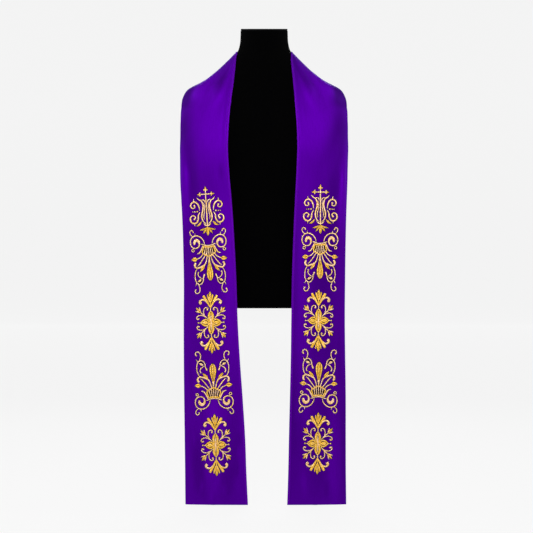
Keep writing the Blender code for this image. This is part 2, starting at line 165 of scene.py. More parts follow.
# Soft patches on the bands: metres from the centre-back seam, half the patch's length, metres
# from the inner edge, half its width, how far it moves across in its whole length, and what it
# adds. A fold adds height, below zero for a trough. The main folds are in the solids too.
MAIN_FOLDS = {
    "left": (
        (0.265, 0.085, 0.030, 0.024, 0.050, 0.0032),
        (0.225, 0.070, 0.088, 0.032, 0.020, 0.0022),
        (0.520, 0.150, 0.128, 0.022, 0.004, 0.0042),
        (0.500, 0.150, 0.094, 0.024, 0.000, -0.0026),
        (0.780, 0.260, 0.020, 0.026, 0.010, 0.0030),
        (1.250, 0.160, 0.040, 0.026, 0.030, -0.0040),
        (1.230, 0.190, 0.082, 0.026, 0.012, 0.0042),
        (1.280, 0.120, 0.126, 0.024, -0.010, -0.0034),
    ),
    "right": (
        (0.265, 0.085, 0.034, 0.024, 0.044, 0.0032),
        (0.230, 0.070, 0.094, 0.032, 0.016, 0.0022),
        (0.540, 0.170, 0.130, 0.022, 0.002, 0.0036),
        (0.600, 0.200, 0.098, 0.030, 0.000, -0.0028),
        (0.900, 0.300, 0.030, 0.028, 0.000, 0.0026),
        (1.200, 0.240, 0.074, 0.036, -0.012, -0.0034),
        (1.260, 0.180, 0.122, 0.026, 0.008, 0.0030),
    ),
}

SMALL_FOLDS = {
    "left": (
        (0.085, 0.060, 0.040, 0.016, 0.036, 0.0016),
        (0.150, 0.055, 0.098, 0.018, 0.030, 0.0014),
        (0.120, 0.060, 0.070, 0.014, 0.040, -0.0006),
        (0.235, 0.045, 0.024, 0.014, 0.030, -0.0020),
        (0.255, 0.040, 0.062, 0.016, 0.030, -0.0012),
        (0.360, 0.110, 0.014, 0.007, 0.000, -0.0005),
        (0.505, 0.050, 0.100, 0.011, 0.000, -0.0015),
        (0.495, 0.040, 0.119, 0.010, 0.000, 0.0012),
        (0.490, 0.035, 0.022, 0.012, 0.004, -0.0012),
        (0.700, 0.120, 0.110, 0.012, 0.006, 0.0009),
        (0.885, 0.035, 0.034, 0.013, 0.004, 0.0014),
        (1.060, 0.110, 0.133, 0.010, 0.000, -0.0010),
        (1.220, 0.045, 0.134, 0.009, 0.000, 0.0013),
        (1.215, 0.030, 0.016, 0.012, 0.006, -0.0016),
        (1.290, 0.040, 0.026, 0.014, 0.010, -0.0020),
        (1.340, 0.030, 0.118, 0.008, 0.004, 0.0014),
        (1.360, 0.036, 0.090, 0.008, 0.016, 0.0014),
        (1.350, 0.028, 0.058, 0.008, 0.004, 0.0012),
    ),
    "right": (
        (0.110, 0.070, 0.046, 0.018, 0.040, 0.0015),
        (0.060, 0.045, 0.096, 0.016, 0.020, 0.0013),
        (0.140, 0.060, 0.082, 0.014, 0.030, -0.0006),
        (0.230, 0.050, 0.020, 0.014, 0.034, -0.0020),
        (0.262, 0.040, 0.060, 0.016, 0.026, -0.0012),
        (0.300, 0.090, 0.012, 0.007, 0.000, -0.0004),
        (0.385, 0.120, 0.092, 0.024, -0.070, -0.0016),
        (0.510, 0.060, 0.126, 0.009, 0.000, 0.0011),
        (0.720, 0.130, 0.020, 0.011, 0.004, 0.0008),
        (0.980, 0.120, 0.128, 0.010, 0.004, -0.0009),
        (1.130, 0.060, 0.018, 0.012, -0.004, 0.0010),
        (1.330, 0.050, 0.040, 0.012, 0.010, 0.0011),
        (1.350, 0.040, 0.100, 0.012, -0.008, -0.0010),
    ),
}

# Patches of painted light and painted shade on the satin, which make its colour lighter or deeper
# than around them. Each adds to the even depth of colour, from 0 for the lightest to 1 for the
# deepest.
EVEN_TONE = 0.60

PAINTED_LIGHT_AND_SHADE = {
    "left": (
        (0.190, 0.080, 0.070, 0.120, 0.000, -0.12),
        (0.270, 0.080, 0.092, 0.060, 0.030, -0.30),
        (0.365, 0.170, 0.052, 0.080, -0.070, -0.50),
        (0.235, 0.060, 0.100, 0.040, 0.000, -0.30),
        (0.262, 0.050, 0.034, 0.026, 0.000, 0.50),
        (0.255, 0.060, 0.058, 0.024, 0.000, -0.30),
        (0.252, 0.060, 0.142, 0.036, 0.000, 0.55),
        (0.360, 0.140, 0.130, 0.050, 0.000, 0.42),
        (0.680, 0.170, 0.080, 0.060, 0.000, 0.20),
        (0.800, 0.350, 0.100, 0.090, 0.000, 0.08),
        (1.230, 0.160, 0.070, 0.070, 0.000, -0.16),
        (1.330, 0.120, 0.075, 0.090, 0.000, 0.08),
    ),
    "right": (
        (0.190, 0.080, 0.080, 0.110, 0.000, -0.18),
        (0.262, 0.070, 0.092, 0.055, 0.020, -0.26),
        (0.350, 0.130, 0.062, 0.070, -0.070, -0.50),
        (0.235, 0.060, 0.092, 0.044, 0.000, -0.34),
        (0.258, 0.055, 0.036, 0.026, 0.000, 0.36),
        (0.250, 0.060, 0.058, 0.024, 0.000, -0.34),
        (0.246, 0.064, 0.142, 0.040, 0.000, 0.75),
        (0.268, 0.050, 0.112, 0.030, 0.000, 0.40),
        (0.215, 0.080, 0.010, 0.036, 0.020, 0.30),
        (0.360, 0.150, 0.126, 0.050, -0.030, 0.34),
        (0.850, 0.420, 0.076, 0.110, 0.000, 0.18),
        (0.760, 0.400, 0.076, 0.060, 0.000, 0.22),
        (0.780, 0.380, 0.008, 0.030, 0.000, 0.20),
        (1.180, 0.340, 0.006, 0.060, 0.000, 0.30),
        (1.200, 0.340, 0.150, 0.070, 0.000, 0.30),
    ),
}

# ---------------------------------------------------------------------------------------------
# Embroidery: strokes in millimetres on a motif's own plane, x to the right and h up
# ---------------------------------------------------------------------------------------------

# form is stem, leaf, bead, ring or ground, a fill of painted shadow with no gold. mirror says
# which
# ways the stroke is repeated: "", "x", "h" or "xh". A point is x, h and half the width there. A
# leaf is split along its length into parts, with a vein of this width between them. rich strokes
# have the deeper gold however fine they are.
Stroke = namedtuple("Stroke", "form mirror vein parts rich points")


def stem(mirror, *points):
    return Stroke("stem", mirror, 0.0, 1, False, points)


def rich_stem(mirror, *points):
    return Stroke("stem", mirror, 0.0, 1, True, points)


def leaf(mirror, vein, parts, *points):
    return Stroke("leaf", mirror, vein, parts, True, points)


def bead(mirror, x, h, radius):
    return Stroke("bead", mirror, 0.0, 1, False, ((x, h, radius),))


def ring(mirror, x, h, radius, hole):
    return Stroke("ring", mirror, hole, 1, False, ((x, h, radius),))


# A fill of painted shadow with no gold over it, in hollows between strokes.
def ground(mirror, *points):
    return Stroke("ground", mirror, 0.0, 1, False, points)


PALMETTE = [
    # the tie at the foot
    stem("", (-20.6, -3.8, 1.1), (-16.0, -2.4, 1.3), (-9.0, 0.0, 1.3), (0, 1.0, 1.4),
         (9.0, 0.0, 1.3), (16.0, -2.4, 1.3), (20.6, -3.8, 1.1)),
    rich_stem("", (-18.4, 0.6, 0.6), (-13.0, 3.0, 1.5), (0, 5.0, 1.9), (13.0, 3.0, 1.5),
              (18.4, 0.6, 0.6)),
    # the basket of bars and its scalloped rim, over a fill of painted shadow between the bars
    ground("", (0, 6.4, 3.6), (0, 8.0, 13.8), (0, 13.0, 16.2), (0, 20.0, 17.4),
           (0, 25.0, 12.0), (0, 26.4, 4.0)),
    stem("", (0, 6.6, 0.9), (0, 27.0, 1.35)),
    stem("x", (4.6, 6.2, 0.9), (6.6, 26.0, 1.35)),
    stem("x", (9.2, 5.4, 0.9), (12.8, 23.6, 1.3)),
    rich_stem("x", (13.8, 3.6, 1.3), (16.6, 9.6, 1.6), (19.2, 18.6, 1.8)),
    rich_stem("", (-5.6, 27.4, 1.2), (-2.8, 29.9, 1.6), (0, 30.4, 1.7), (2.8, 29.9, 1.6),
              (5.6, 27.4, 1.2)),
    rich_stem("x", (5.6, 27.4, 1.2), (10.0, 27.6, 1.6), (12.8, 24.2, 1.3)),
    rich_stem("x", (12.6, 24.4, 1.2), (17.0, 23.2, 1.6), (19.2, 18.6, 1.3)),
    # the middle leaf
    stem("", (0, 28.5, 0.9), (0, 38.4, 1.9), (0, 46.0, 3.0)),
    leaf("", 1.2, 3, (0, 44.0, 2.8), (0, 50.0, 4.0), (0, 56.0, 5.4), (0, 64.0, 7.4),
         (0, 73.0, 9.3), (0, 81.0, 9.9), (0, 87.5, 8.7), (0, 92.6, 5.9), (0, 96.4, 2.6)),
    # stems that open to the sides
    stem("x", (4.9, 29.1, 1.3), (7.1, 37.2, 1.4), (10.4, 47.1, 1.6), (14.4, 53.3, 1.9),
         (20.5, 57, 2.3), (29, 60.1, 2.2), (37.6, 61.4, 2.1), (42.6, 57.6, 2.5),
         (43.2, 51.6, 2.8), (41.4, 48.2, 2.6)),
    leaf("x", 0.4, 2, (14.6, 55.4, 0.8), (19.4, 61.6, 3.4), (24.2, 66.6, 3.0),
         (28.5, 71.7, 0.4)),
    stem("x", (9.5, 24.6, 1.1), (21.2, 40.9, 1.4), (29.0, 50.4, 1.4), (35.4, 56.4, 0.7)),
    stem("x", (15.9, 20.8, 1.0), (19.3, 26, 1.3), (24.1, 31.2, 1.35), (30.1, 34.5, 1.3),
         (36.3, 36.2, 1.1)),
    leaf("x", 0.5, 2, (34.4, 36.0, 0.8), (38.2, 36.9, 3.8), (42.2, 37.4, 6.2), (46.4, 37.6, 4.6),
         (52.4, 37.6, 0.3)),
    stem("x", (16.4, 1.0, 1.0), (19.2, 6.0, 1.6), (21.8, 11.6, 1.8), (25.0, 17.0, 1.8),
         (29.0, 20.8, 1.7), (34.4, 22.0, 0.8)),
    # the volute and its small curls
    stem("x", (11.4, -4.2, 0.8), (14.9, -14.9, 1.3), (21.4, -22.3, 1.4), (32.8, -27.3, 1.5),
         (43.9, -25.4, 1.5), (51, -18, 1.4), (52.8, -7.4, 1.4), (48.9, 2.5, 1.4),
         (40, 6.8, 1.4), (30.8, 4.6, 1.6), (26.4, -3.4, 2.2), (28.4, -11.6, 3.4),
         (34.4, -15.2, 4.2), (40.2, -11.6, 3.8), (41.4, -5.4, 3.0)),
    stem("x", (45.6, -26.3, 0.9), (51.0, -31.6, 1.2), (52.7, -38.4, 1.2), (49, -43.0, 1.2),
         (44.3, -41.3, 1.2), (42.9, -37.4, 1.5)),
    stem("x", (37.5, -28.8, 1.3), (37.6, -34.4, 0.3)),
    ring("x", 46.5, 12.6, 4.5, 2.4),
    # the tendril above
    stem("x", (37.6, 62.8, 0.8), (42.2, 70.7, 1.2), (44.5, 80.6, 1.25), (44.5, 90.5, 1.25),
         (42.2, 99.2, 1.25), (38.3, 104.2, 1.25), (31.4, 106.7, 1.25), (24.7, 102.9, 1.25),
         (21.3, 96.1, 1.3), (20.4, 89.6, 1.3), (16.9, 80.4, 2.2)),
    stem("x", (21.6, 91.4, 0.7), (28.9, 88.4, 1.15), (34.4, 82.6, 1.2), (35.7, 77.4, 1.3),
         (34.0, 73.2, 1.8)),
    # painted shadow inside the curl
    ground("x", (36.8, 97.6, 2.0), (32.4, 98.6, 3.6), (27.6, 96.2, 2.6)),
    stem("x", (37.2, 98.6, 0.5), (34.2, 97.4, 2.7), (30.4, 95.6, 3.0), (26.6, 93.6, 0.8)),
    stem("x", (37.0, 106.0, 0.8), (33.6, 112.8, 1.2), (32.6, 120.3, 1.25), (35.4, 128.0, 1.25),
         (40.8, 131.0, 1.25), (45.9, 129, 1.25), (47.0, 124.6, 1.4), (44.6, 120.6, 1.9)),
    stem("x", (42.0, 103.2, 1.2), (45.0, 110.0, 0.3)),
]

ROSETTE = [
    # level petals: a border round an inner oval, a point and a bead
    rich_stem("xh", (6.8, 1.2, 1.2), (8.6, 5.6, 1.7), (12.6, 8.4, 2.0), (17.4, 8.2, 2.0),
              (22.8, 5.2, 1.9), (28.4, 0.6, 1.0)),
    leaf("x", 0.5, 1, (7.0, 0, 1.2), (10.4, 0, 3.2), (14.2, 0, 5.3), (18.0, 0, 5.2),
         (21.6, 0, 3.2), (24.4, 0, 1.0)),
    stem("x", (27.0, 0, 1.3), (33.6, 0, 0.8)),
    bead("x", 35.6, 0, 2.0),
    # upright petals, on both sides of a bright bar
    rich_stem("xh", (4.0, 1.6, 1.6), (4.6, 7.0, 2.3), (5.2, 13.0, 2.9), (5.6, 18.6, 3.1),
              (4.3, 25.0, 2.3), (1.4, 31.4, 1.0)),
    leaf("h", 0.5, 2, (0, 18.8, 0.9), (0, 21.6, 2.1), (0, 24.6, 1.9), (0, 27.6, 0.7)),
    stem("", (0, -20.0, 0.9), (0, -10, 2.0), (0, 10, 2.0), (0, 20.0, 0.9)),
    stem("h", (0, 30.8, 1.1), (0, 40.4, 1.1)),
    # the crowns above and below
    rich_stem("h", (0, 41.0, 1.6), (0, 50.0, 1.4), (0, 58.0, 2.2)),
    leaf("h", 0.4, 2, (0, 58.6, 2.2), (0, 66.0, 3.3), (0, 73.6, 3.7), (0, 80.0, 3.2),
         (0, 85.2, 1.0)),
    rich_stem("xh", (2.6, 57.8, 0.9), (4.8, 65.6, 1.7), (6.6, 72.6, 2.0), (7.4, 77.4, 1.2)),
    rich_stem("xh", (1.2, 42.6, 1.2), (5.2, 50.6, 2.4), (10.0, 60.2, 3.0), (15.0, 68.0, 3.6),
              (17.8, 73.0, 3.4)),
    stem("xh", (9.6, 55.4, 1.2), (15.6, 61.6, 2.0), (21.6, 63.8, 2.3), (27.0, 61.6, 2.5),
         (29.2, 57.0, 3.3), (27.6, 54.6, 4.2)),
    # the diagonal stems, their buds and curls
    stem("xh", (9.1, 10.5, 0.9), (13.9, 15.5, 1.3), (19.9, 21.7, 1.4), (26.5, 27.2, 1.4)),
    leaf("xh", 0.4, 2, (26.8, 27.6, 0.8), (31.8, 32.6, 3.0), (36.2, 37.6, 2.6),
         (39.8, 42.2, 0.5)),
    stem("xh", (27.8, 30.2, 0.8), (29.6, 35.6, 1.9), (30.6, 39.6, 1.5), (31.2, 43.2, 0.4)),
    stem("xh", (30.4, 28.4, 0.8), (35.0, 30.2, 1.8), (38.6, 31.4, 1.4), (41.8, 32.4, 0.4)),
    stem("xh", (16.9, 18.4, 0.8), (19.3, 25.4, 1.15), (19.6, 32.9, 1.2), (17.0, 39.7, 1.25),
         (12.2, 42.0, 1.3), (8.2, 39.4, 1.4), (9.0, 35.6, 2.4)),
    stem("xh", (15.6, 15.9, 0.8), (22.4, 19.6, 1.15), (29.8, 20.6, 1.2), (36.5, 18.4, 1.25),
         (39.8, 13.4, 1.3), (37.6, 9.6, 1.4), (34.4, 10.8, 2.3)),
]

# A cross with budded ends between scrolls, over a small palmette.
CROSS = [
    stem("", (0, 62.0, 1.1), (0, 30, 1.5), (0, -10, 1.7), (0, -42.0, 1.5)),
    stem("", (-17.5, 47.0, 1.2), (0, 47.0, 1.5), (17.5, 47.0, 1.2)),
    leaf("", 0.4, 2, (0, 54.6, 1.2), (0, 59.0, 2.8), (0, 63.0, 2.2), (0, 68.0, 0.4)),
    bead("x", 4.0, 58.4, 2.0),
    leaf("x", 0.4, 2, (13.4, 47.0, 1.0), (17.4, 47.0, 2.4), (20.6, 47.0, 1.8),
         (24.0, 47.0, 0.4)),
    bead("x", 15.8, 50.8, 1.9),
    bead("x", 15.8, 43.2, 1.9),
    # lyre scrolls that hold the shaft
    stem("x", (3.6, -34.6, 0.6), (9.4, -29.6, 1.4), (13.6, -20.0, 1.9), (13.8, -9.0, 2.0),
         (10.8, 1.0, 1.9), (9.0, 11.0, 1.9), (9.8, 21.0, 1.8), (14.0, 29.4, 1.7),
         (20.0, 33.0, 1.4), (25.0, 38.4, 0.5)),
    stem("x", (7.2, -22.6, 0.5), (8.6, -14.0, 1.0), (6.8, -4.0, 1.0), (5.4, 7.0, 1.0),
         (5.6, 17.0, 1.0), (7.4, 23.6, 0.5)),
    stem("x", (3.4, 24.8, 1.0), (6.2, 30.4, 1.3), (11.6, 31.6, 0.8)),
    # side scrolls, one above the other
    stem("x", (19.4, 2.6, 0.8), (20.6, 13.0, 1.6), (25.2, 22.6, 2.0), (33.4, 27.2, 1.9),
         (41.4, 23.4, 1.8), (43.4, 15.0, 1.6), (38.2, 9.4, 1.4), (32.2, 12.2, 1.4),
         (33.6, 17.2, 2.4)),
    stem("x", (19.4, -2.6, 0.8), (23.6, -11.6, 1.7), (24.8, -22.0, 1.9), (30.6, -31.2, 2.0),
         (39.6, -31.4, 2.0), (46.0, -23.6, 1.9), (44.6, -14.0, 1.7), (37.4, -10.2, 1.5),
         (32.2, -14.6, 1.5), (35.2, -20.4, 2.6)),
    stem("x", (34.2, 28.4, 1.5), (34.6, 35.6, 0.3)),
    stem("x", (35.0, -32.6, 1.5), (35.4, -39.6, 0.3)),
    bead("x", 26.0, 0.2, 2.3),
    bead("x", 32.6, 0.0, 1.8),
    bead("x", 38.0, -0.2, 1.4),
    leaf("x", 0.4, 2, (16.0, -27.4, 0.5), (19.6, -33.0, 2.4), (24.6, -37.4, 2.3),
         (31.0, -39.6, 0.4)),
    # the palmette at the foot
    stem("x", (0.4, -40.6, 1.0), (5.4, -38.4, 1.7), (9.6, -33.6, 0.5)),
    leaf("", 0.4, 2, (0, -43.0, 1.2), (0, -52.0, 2.8), (0, -60.0, 3.8), (0, -67.8, 0.5)),
    leaf("x", 0.4, 2, (1.4, -45.6, 0.8), (5.4, -51.4, 2.0), (9.2, -56.2, 2.3),
         (12.6, -61.4, 0.5)),
    leaf("x", 0.4, 2, (1.8, -44.6, 0.8), (8.4, -48.4, 1.8), (14.8, -50.4, 2.0),
         (21.6, -51.6, 0.4)),
]

# Where each motif lies: its own origin on the band, in metres, and its lean in degrees, above
# zero when its top leans to -X. turn is 180 for a motif that hangs upside down. wide and tall
# are its scales.
Motif = namedtuple("Motif", "name side design x z lean turn wide tall")

MOTIFS = [
    Motif("left_cross", "left", CROSS, -0.1556, 0.7961, 3.5, 0, 0.98, 0.98),
    Motif("left_upper_palmette", "left", PALMETTE, -0.1507, 0.7040, 3.5, 180, 0.92, 0.985),
    Motif("left_upper_rosette", "left", ROSETTE, -0.1434, 0.4948, 2.0, 0, 0.975, 0.975),
    Motif("left_lower_palmette", "left", PALMETTE, -0.1352, 0.2890, 2.5, 0, 0.97, 0.976),
    Motif("left_lower_rosette", "left", ROSETTE, -0.1308, 0.1640, 2.25, 0, 0.975, 0.975),
    Motif("right_cross", "right", CROSS, 0.1522, 0.8015, 0.0, 0, 0.98, 0.98),
    Motif("right_upper_palmette", "right", PALMETTE, 0.1509, 0.7094, 0.0, 180, 0.92, 0.985),
    Motif("right_upper_rosette", "right", ROSETTE, 0.1468, 0.5004, -0.5, 0, 0.975, 0.975),
    Motif("right_lower_palmette", "right", PALMETTE, 0.1463, 0.2934, -1.5, 0, 0.97, 0.976),
    Motif("right_lower_rosette", "right", ROSETTE, 0.1449, 0.1681, -1.0, 0, 0.975, 0.975),
]

# ---------------------------------------------------------------------------------------------
# Settings
# ---------------------------------------------------------------------------------------------


def length(name, description, default):
    return FloatProperty(
        name=name, description=description, default=default, min=0.0, unit="LENGTH",
        subtype="DISTANCE", precision=5,
    )


def colour(name, description, default):
    return FloatVectorProperty(
        name=name, description=description, default=default, size=3, min=0.0, max=1.0,
        subtype="COLOR",
    )


def power(name, description, default):
    return FloatProperty(
        name=name, description=description, default=default, min=0.0, subtype="POWER"
    )


class StoleBandSettings(bpy.types.PropertyGroup):
    wall: length("Wall", "Face cloth, interlining and lining together", 0.0020)
    gap: length("Gap", "Space between the cloth and the form", 0.0008)
    roll_height: length("Rolled edge height", "How far the rolled edges stand up", 0.0005)
    roll_width: length("Rolled edge width", "Width of the rolled edges", 0.0050)
    satin: colour("Satin", "Colour of the face cloth", (0.102, 0.0, 0.388))
    # Deepest painted shade of the satin; also the colour of its slubs and of the lining's deeper
    # patches.
    satin_deep_and_shade: colour("Deep satin", "Colour of the face cloth where it looks deepest",
                       (0.040, 0.0, 0.158))
    # Painted highlight along the rolled edges, where they turn to the light.
    edge_highlight: colour("Edge", "Colour of the rolled edges", (0.090, 0.002, 0.300))


class StoleEmbroiderySettings(bpy.types.PropertyGroup):
    spacing: length("Spacing", "Distance between the rings of a stroke", 0.0014)
    pitch: length("Thread pitch", "Distance between two threads", 0.00055)
    sunk: length("Sunk", "How far the strokes are set into the cloth", 0.00015)
    # Painted shadow: how far the dark strips under the gold stand out beside a stroke.
    shadow_bedding: length("Bedding", "How far the dark bedding stitches stand out beside a stroke",
                    0.0012)
    gold: colour("Gold", "Colour of the gold thread", (0.940, 0.555, 0.050))
    gold_pale: colour("Pale gold", "Colour of the thread in fine strokes",
                      (1.000, 0.690, 0.510))
    # Painted shade between the threads, also the deeper gold of random patches.
    gold_deep_and_shade: colour("Deep gold", "Colour between the threads", (0.450, 0.180, 0.015))
    # Colour of the painted shadow under and beside the gold.
    shadow_bedding_colour: colour("Bedding colour", "Colour of the bedding stitches",
                           (0.010, 0.001, 0.016))


class StoleFormSettings(bpy.types.PropertyGroup):
    seam_depth: length("Seam depth", "How far the seams of the cover are pulled in", 0.0006)
    hem_radius: length("Hem radius", "Rounding of the cover at its base", 0.0040)
    jersey: colour("Jersey", "Colour of the form's cover", (0.0004, 0.0004, 0.0005))


class StoleStandSettings(bpy.types.PropertyGroup):
    leg_radius: length("Leg radius", "Radius of the two legs", 0.0110)
    flange_radius: length("Flange radius", "Radius of the plates under the form", 0.0280)
    foot_width: length("Foot width", "Width of the bars on the floor", 0.0400)
    foot_height: length("Foot height", "Height of the bars on the floor", 0.0100)
    coat: colour("Coat", "Colour of the powder coat", (0.0040, 0.0040, 0.0045))


class StoleStageSettings(bpy.types.PropertyGroup):
    floor: colour("Floor", "Colour of the floor and the backdrop", (0.045, 0.045, 0.045))
    glow: FloatProperty(
        name="Glow", description="Even light that the backdrop gives", default=0.875, min=0.0
    )
    key_power: power("Key light", "Power of the soft box in front", 38.4)
    top_power: power("Top light", "Power of the soft box above", 8.0)
    rim_power: power("Rim lights", "Power of the soft boxes at the sides and the back", 40.0)


class StoleSettings(bpy.types.PropertyGroup):
    band: PointerProperty(type=StoleBandSettings)
    embroidery: PointerProperty(type=StoleEmbroiderySettings)
    form: PointerProperty(type=StoleFormSettings)
    stand: PointerProperty(type=StoleStandSettings)
    stage: PointerProperty(type=StoleStageSettings)


# ---------------------------------------------------------------------------------------------
# Curves, and smooth surfaces through tables of sections, for many points at once
# ---------------------------------------------------------------------------------------------


def curve_between(low, high, low_slope, high_slope, step, t):
    """A cubic over a step from low to high, with these slopes at its ends, at shares t of it."""
    return (
        low * (1 + 2 * t) * (1 - t) ** 2
        + low_slope * step * t * (1 - t) ** 2
        + high * t * t * (3 - 2 * t)
        + high_slope * step * t * t * (t - 1)
    )


def inner_slopes(chords, lengths):
    """Slopes at the inner points of a curve, from the chords on both sides of each."""
    return (chords[:-1] * lengths[1:] + chords[1:] * lengths[:-1]) / (lengths[:-1] + lengths[1:])


def soft_bump(t):
    """1 at 0, falling smoothly to 0 at -1 and 1."""
    return np.where(np.abs(t) < 1.0, np.cos(0.5 * np.pi * np.clip(t, -1.0, 1.0)) ** 2, 0.0)


class Skin:
    """A smooth surface through level sections, with no overshoot between its rows."""

    def __init__(self, rows):
        table = np.array(rows, float)
        self.heights = table[:, 0]
        self.values = table[:, 1:]
        steps = np.diff(self.heights)[:, None]
        chords = np.diff(self.values, axis=0) / steps
        product = chords[:-1] * chords[1:]
        total = chords[:-1] + chords[1:]
        rising = product > 0
        self.slopes = np.zeros_like(self.values)
        self.slopes[1:-1][rising] = 2.0 * product[rising] / total[rising]

    def section(self, z):
        """Half width, middle, front, back and fullness at each of these heights."""
        z = np.clip(z, self.heights[0], self.heights[-1])
        row = np.clip(np.searchsorted(self.heights, z) - 1, 0, len(self.heights) - 2)
        step = (self.heights[row + 1] - self.heights[row])[..., None]
        t = (z[..., None] - self.heights[row][..., None]) / step
        value = curve_between(self.values[row], self.values[row + 1], self.slopes[row],
                              self.slopes[row + 1], step, t)
        return np.moveaxis(value, -1, 0)

    def at_angle(self, angle, z, side=1.0):
        """Points at an angle in degrees from the centre back, on one side."""
        angle, z = np.broadcast_arrays(np.asarray(angle, float), np.asarray(z, float))
        half_width, middle, front, back, fullness = self.section(z)
        sine, cosine = np.sin(np.radians(angle)), np.cos(np.radians(angle))
        depth = np.where(cosine > 0, back, front)
        x = side * half_width * np.abs(sine) ** (2.0 / fullness)
        y = middle + np.sign(cosine) * depth * np.abs(cosine) ** (2.0 / fullness)
        return np.stack([x, y, z], axis=-1)

    def on_front(self, x, z):
        """The points of the front at these X and heights."""
        x, z = np.broadcast_arrays(np.asarray(x, float), np.asarray(z, float))
        half_width, middle, front, _, fullness = self.section(z)
        rest = np.maximum(0.0, 1.0 - (np.abs(x) / half_width) ** fullness)
        return np.stack([x, middle - front * rest ** (1.0 / fullness), z], axis=-1)

    def reach(self, points):
        """1 on the surface, less inside it and more outside."""
        x, y, z = np.moveaxis(points, -1, 0)
        half_width, middle, front, back, fullness = self.section(z)
        depth = np.where(y > middle, back, front)
        wide = (np.abs(x) / half_width) ** fullness
        deep = (np.abs(y - middle) / depth) ** fullness
        return (wide + deep) ** (1.0 / fullness)

    def level_with(self, points):
        """The points of the surface level with these, in the same direction from its middle."""
        middle = self.section(points[..., 2])[1]
        scale = 1.0 / self.reach(points)
        moved = points.copy()
        moved[..., 0] = points[..., 0] * scale
        moved[..., 1] = middle + (points[..., 1] - middle) * scale
        return moved

    def normal(self, points, step=0.0004):
        """Outward directions of the surface at these points."""
        slope = np.stack([self.reach(points + step * axis) - self.reach(points - step * axis)
                          for axis in np.eye(3)], axis=-1)
        return slope / np.linalg.norm(slope, axis=-1, keepdims=True)


FORM_SKIN = Skin(FORM)
DRAPE_SKIN = Skin(DRAPE)

# ---------------------------------------------------------------------------------------------
# Meshes and objects
# ---------------------------------------------------------------------------------------------


SHARP_ANGLE = math.radians(40.0)


def ring_quads(rings, around):
    """Faces between rings of points, which are counted ring by ring."""
    index = np.arange(rings * around).reshape(rings, around)
    turned = np.roll(index, -1, axis=1)
    quads = np.stack([index[:-1], turned[:-1], turned[1:], index[1:]], axis=-1)
    return quads.reshape(-1, 4).tolist()


def new_mesh_object(name, points, faces, materials, corner_uv=None, uv_name="cloth"):
    """A smooth-shaded object whose place is in its mesh."""
    mesh = bpy.data.meshes.new(name)
    mesh.from_pydata([tuple(point) for point in points], [], faces)
    if corner_uv is not None:
        corners = np.empty(len(mesh.loops), dtype=np.int32)
        mesh.loops.foreach_get("vertex_index", corners)
        layer = mesh.uv_layers.new(name=uv_name)
        layer.data.foreach_set("uv", np.asarray(corner_uv, float)[corners].ravel())
    mesh.validate()
    mesh.shade_smooth()
    thing = bpy.data.objects.new(name, mesh)
    bpy.context.scene.collection.objects.link(thing)
    for material in materials:
        mesh.materials.append(material)
    return thing


def turn_outwards(piece):
    """Points every face of a closed mesh outwards."""
    shape = bmesh.new()
    shape.from_mesh(piece.data)
    bmesh.ops.recalc_face_normals(shape, faces=shape.faces)
    shape.to_mesh(piece.data)
    shape.free()


def deselect_all():
    """Leaves edit mode, with nothing selected."""
    if bpy.context.object and bpy.context.object.mode != "OBJECT":
        bpy.ops.object.mode_set(mode="OBJECT")
    bpy.ops.object.select_all(action="DESELECT")


def select_faces(piece, test):
    """Selects the faces, in edit mode, whose normal and centre pass the test."""
    bpy.ops.mesh.select_mode(type="FACE")
    shape = bmesh.from_edit_mesh(piece.data)
    for face in shape.faces:
        face.select_set(bool(test(face.normal, face.calc_center_median())))
    shape.select_flush_mode()
    bmesh.update_edit_mesh(piece.data)


def select_edges(piece, test):
    """Selects the edges, in edit mode, whose two ends pass the test."""
    bpy.ops.mesh.select_mode(type="EDGE")
    shape = bmesh.from_edit_mesh(piece.data)
    for edge in shape.edges:
        edge.select_set(bool(test(edge.verts[0].co, edge.verts[1].co)))
    shape.select_flush_mode()
    bmesh.update_edit_mesh(piece.data)


def apply_place():
    """Puts the selected object's place, turn and scale into its mesh."""
    bpy.ops.object.transform_apply(location=True, rotation=True, scale=True)


def open_primitive():
    """The object that was just added, with its place applied, in edit mode."""
    apply_place()
    bpy.ops.object.mode_set(mode="EDIT")
    return bpy.context.object


def inset(*steps, use_individual=False):
    """Insets the selected faces by each thickness and depth in turn."""
    for thickness, depth in steps:
        bpy.ops.mesh.inset(thickness=thickness, depth=depth, use_individual=use_individual)


def step_out(extrude, centre, old, new):
    """Extrudes the selection round a centre from one radius and height to the next."""
    extrude(TRANSFORM_OT_translate={"value": (0.0, 0.0, new[1] - old[1])})
    factor = new[0] / old[0]
    bpy.ops.transform.resize(value=(factor, factor, 1.0), center_override=(*centre, new[1]))


def finish_piece(piece, name, material, bevel=0.0, segments=2):
    """Bevels a hard piece, applies its place and names it."""
    deselect_all()
    piece.select_set(True)
    bpy.context.view_layer.objects.active = piece
    apply_place()
    if bevel:
        ease = piece.modifiers.new("eased edges", "BEVEL")
        ease.width = bevel
        ease.segments = segments
        ease.limit_method = "ANGLE"
        ease.angle_limit = SHARP_ANGLE
        bpy.ops.object.modifier_apply(modifier=ease.name)
    bpy.ops.object.shade_smooth_by_angle(angle=SHARP_ANGLE)
    piece.name = name
    piece.data.name = name
    piece.data.materials.clear()
    piece.data.materials.append(material)
    piece.select_set(False)
    return piece


def join_pieces(pieces, name):
    """Makes one piece of these, with each one's own material."""
    deselect_all()
    for piece in pieces:
        piece.select_set(True)
    bpy.context.view_layer.objects.active = pieces[0]
    bpy.ops.object.join()
    pieces[0].name = name
    pieces[0].data.name = name
    pieces[0].select_set(False)
    return pieces[0]


def copied(piece, x=0.0, y=0.0):
    """A copy of a finished piece with a mesh of its own, moved along the floor."""
    twin = piece.copy()
    twin.data = piece.data.copy()
    twin.data.transform(Matrix.Translation((x, y, 0.0)))
    bpy.context.scene.collection.objects.link(twin)
    return twin


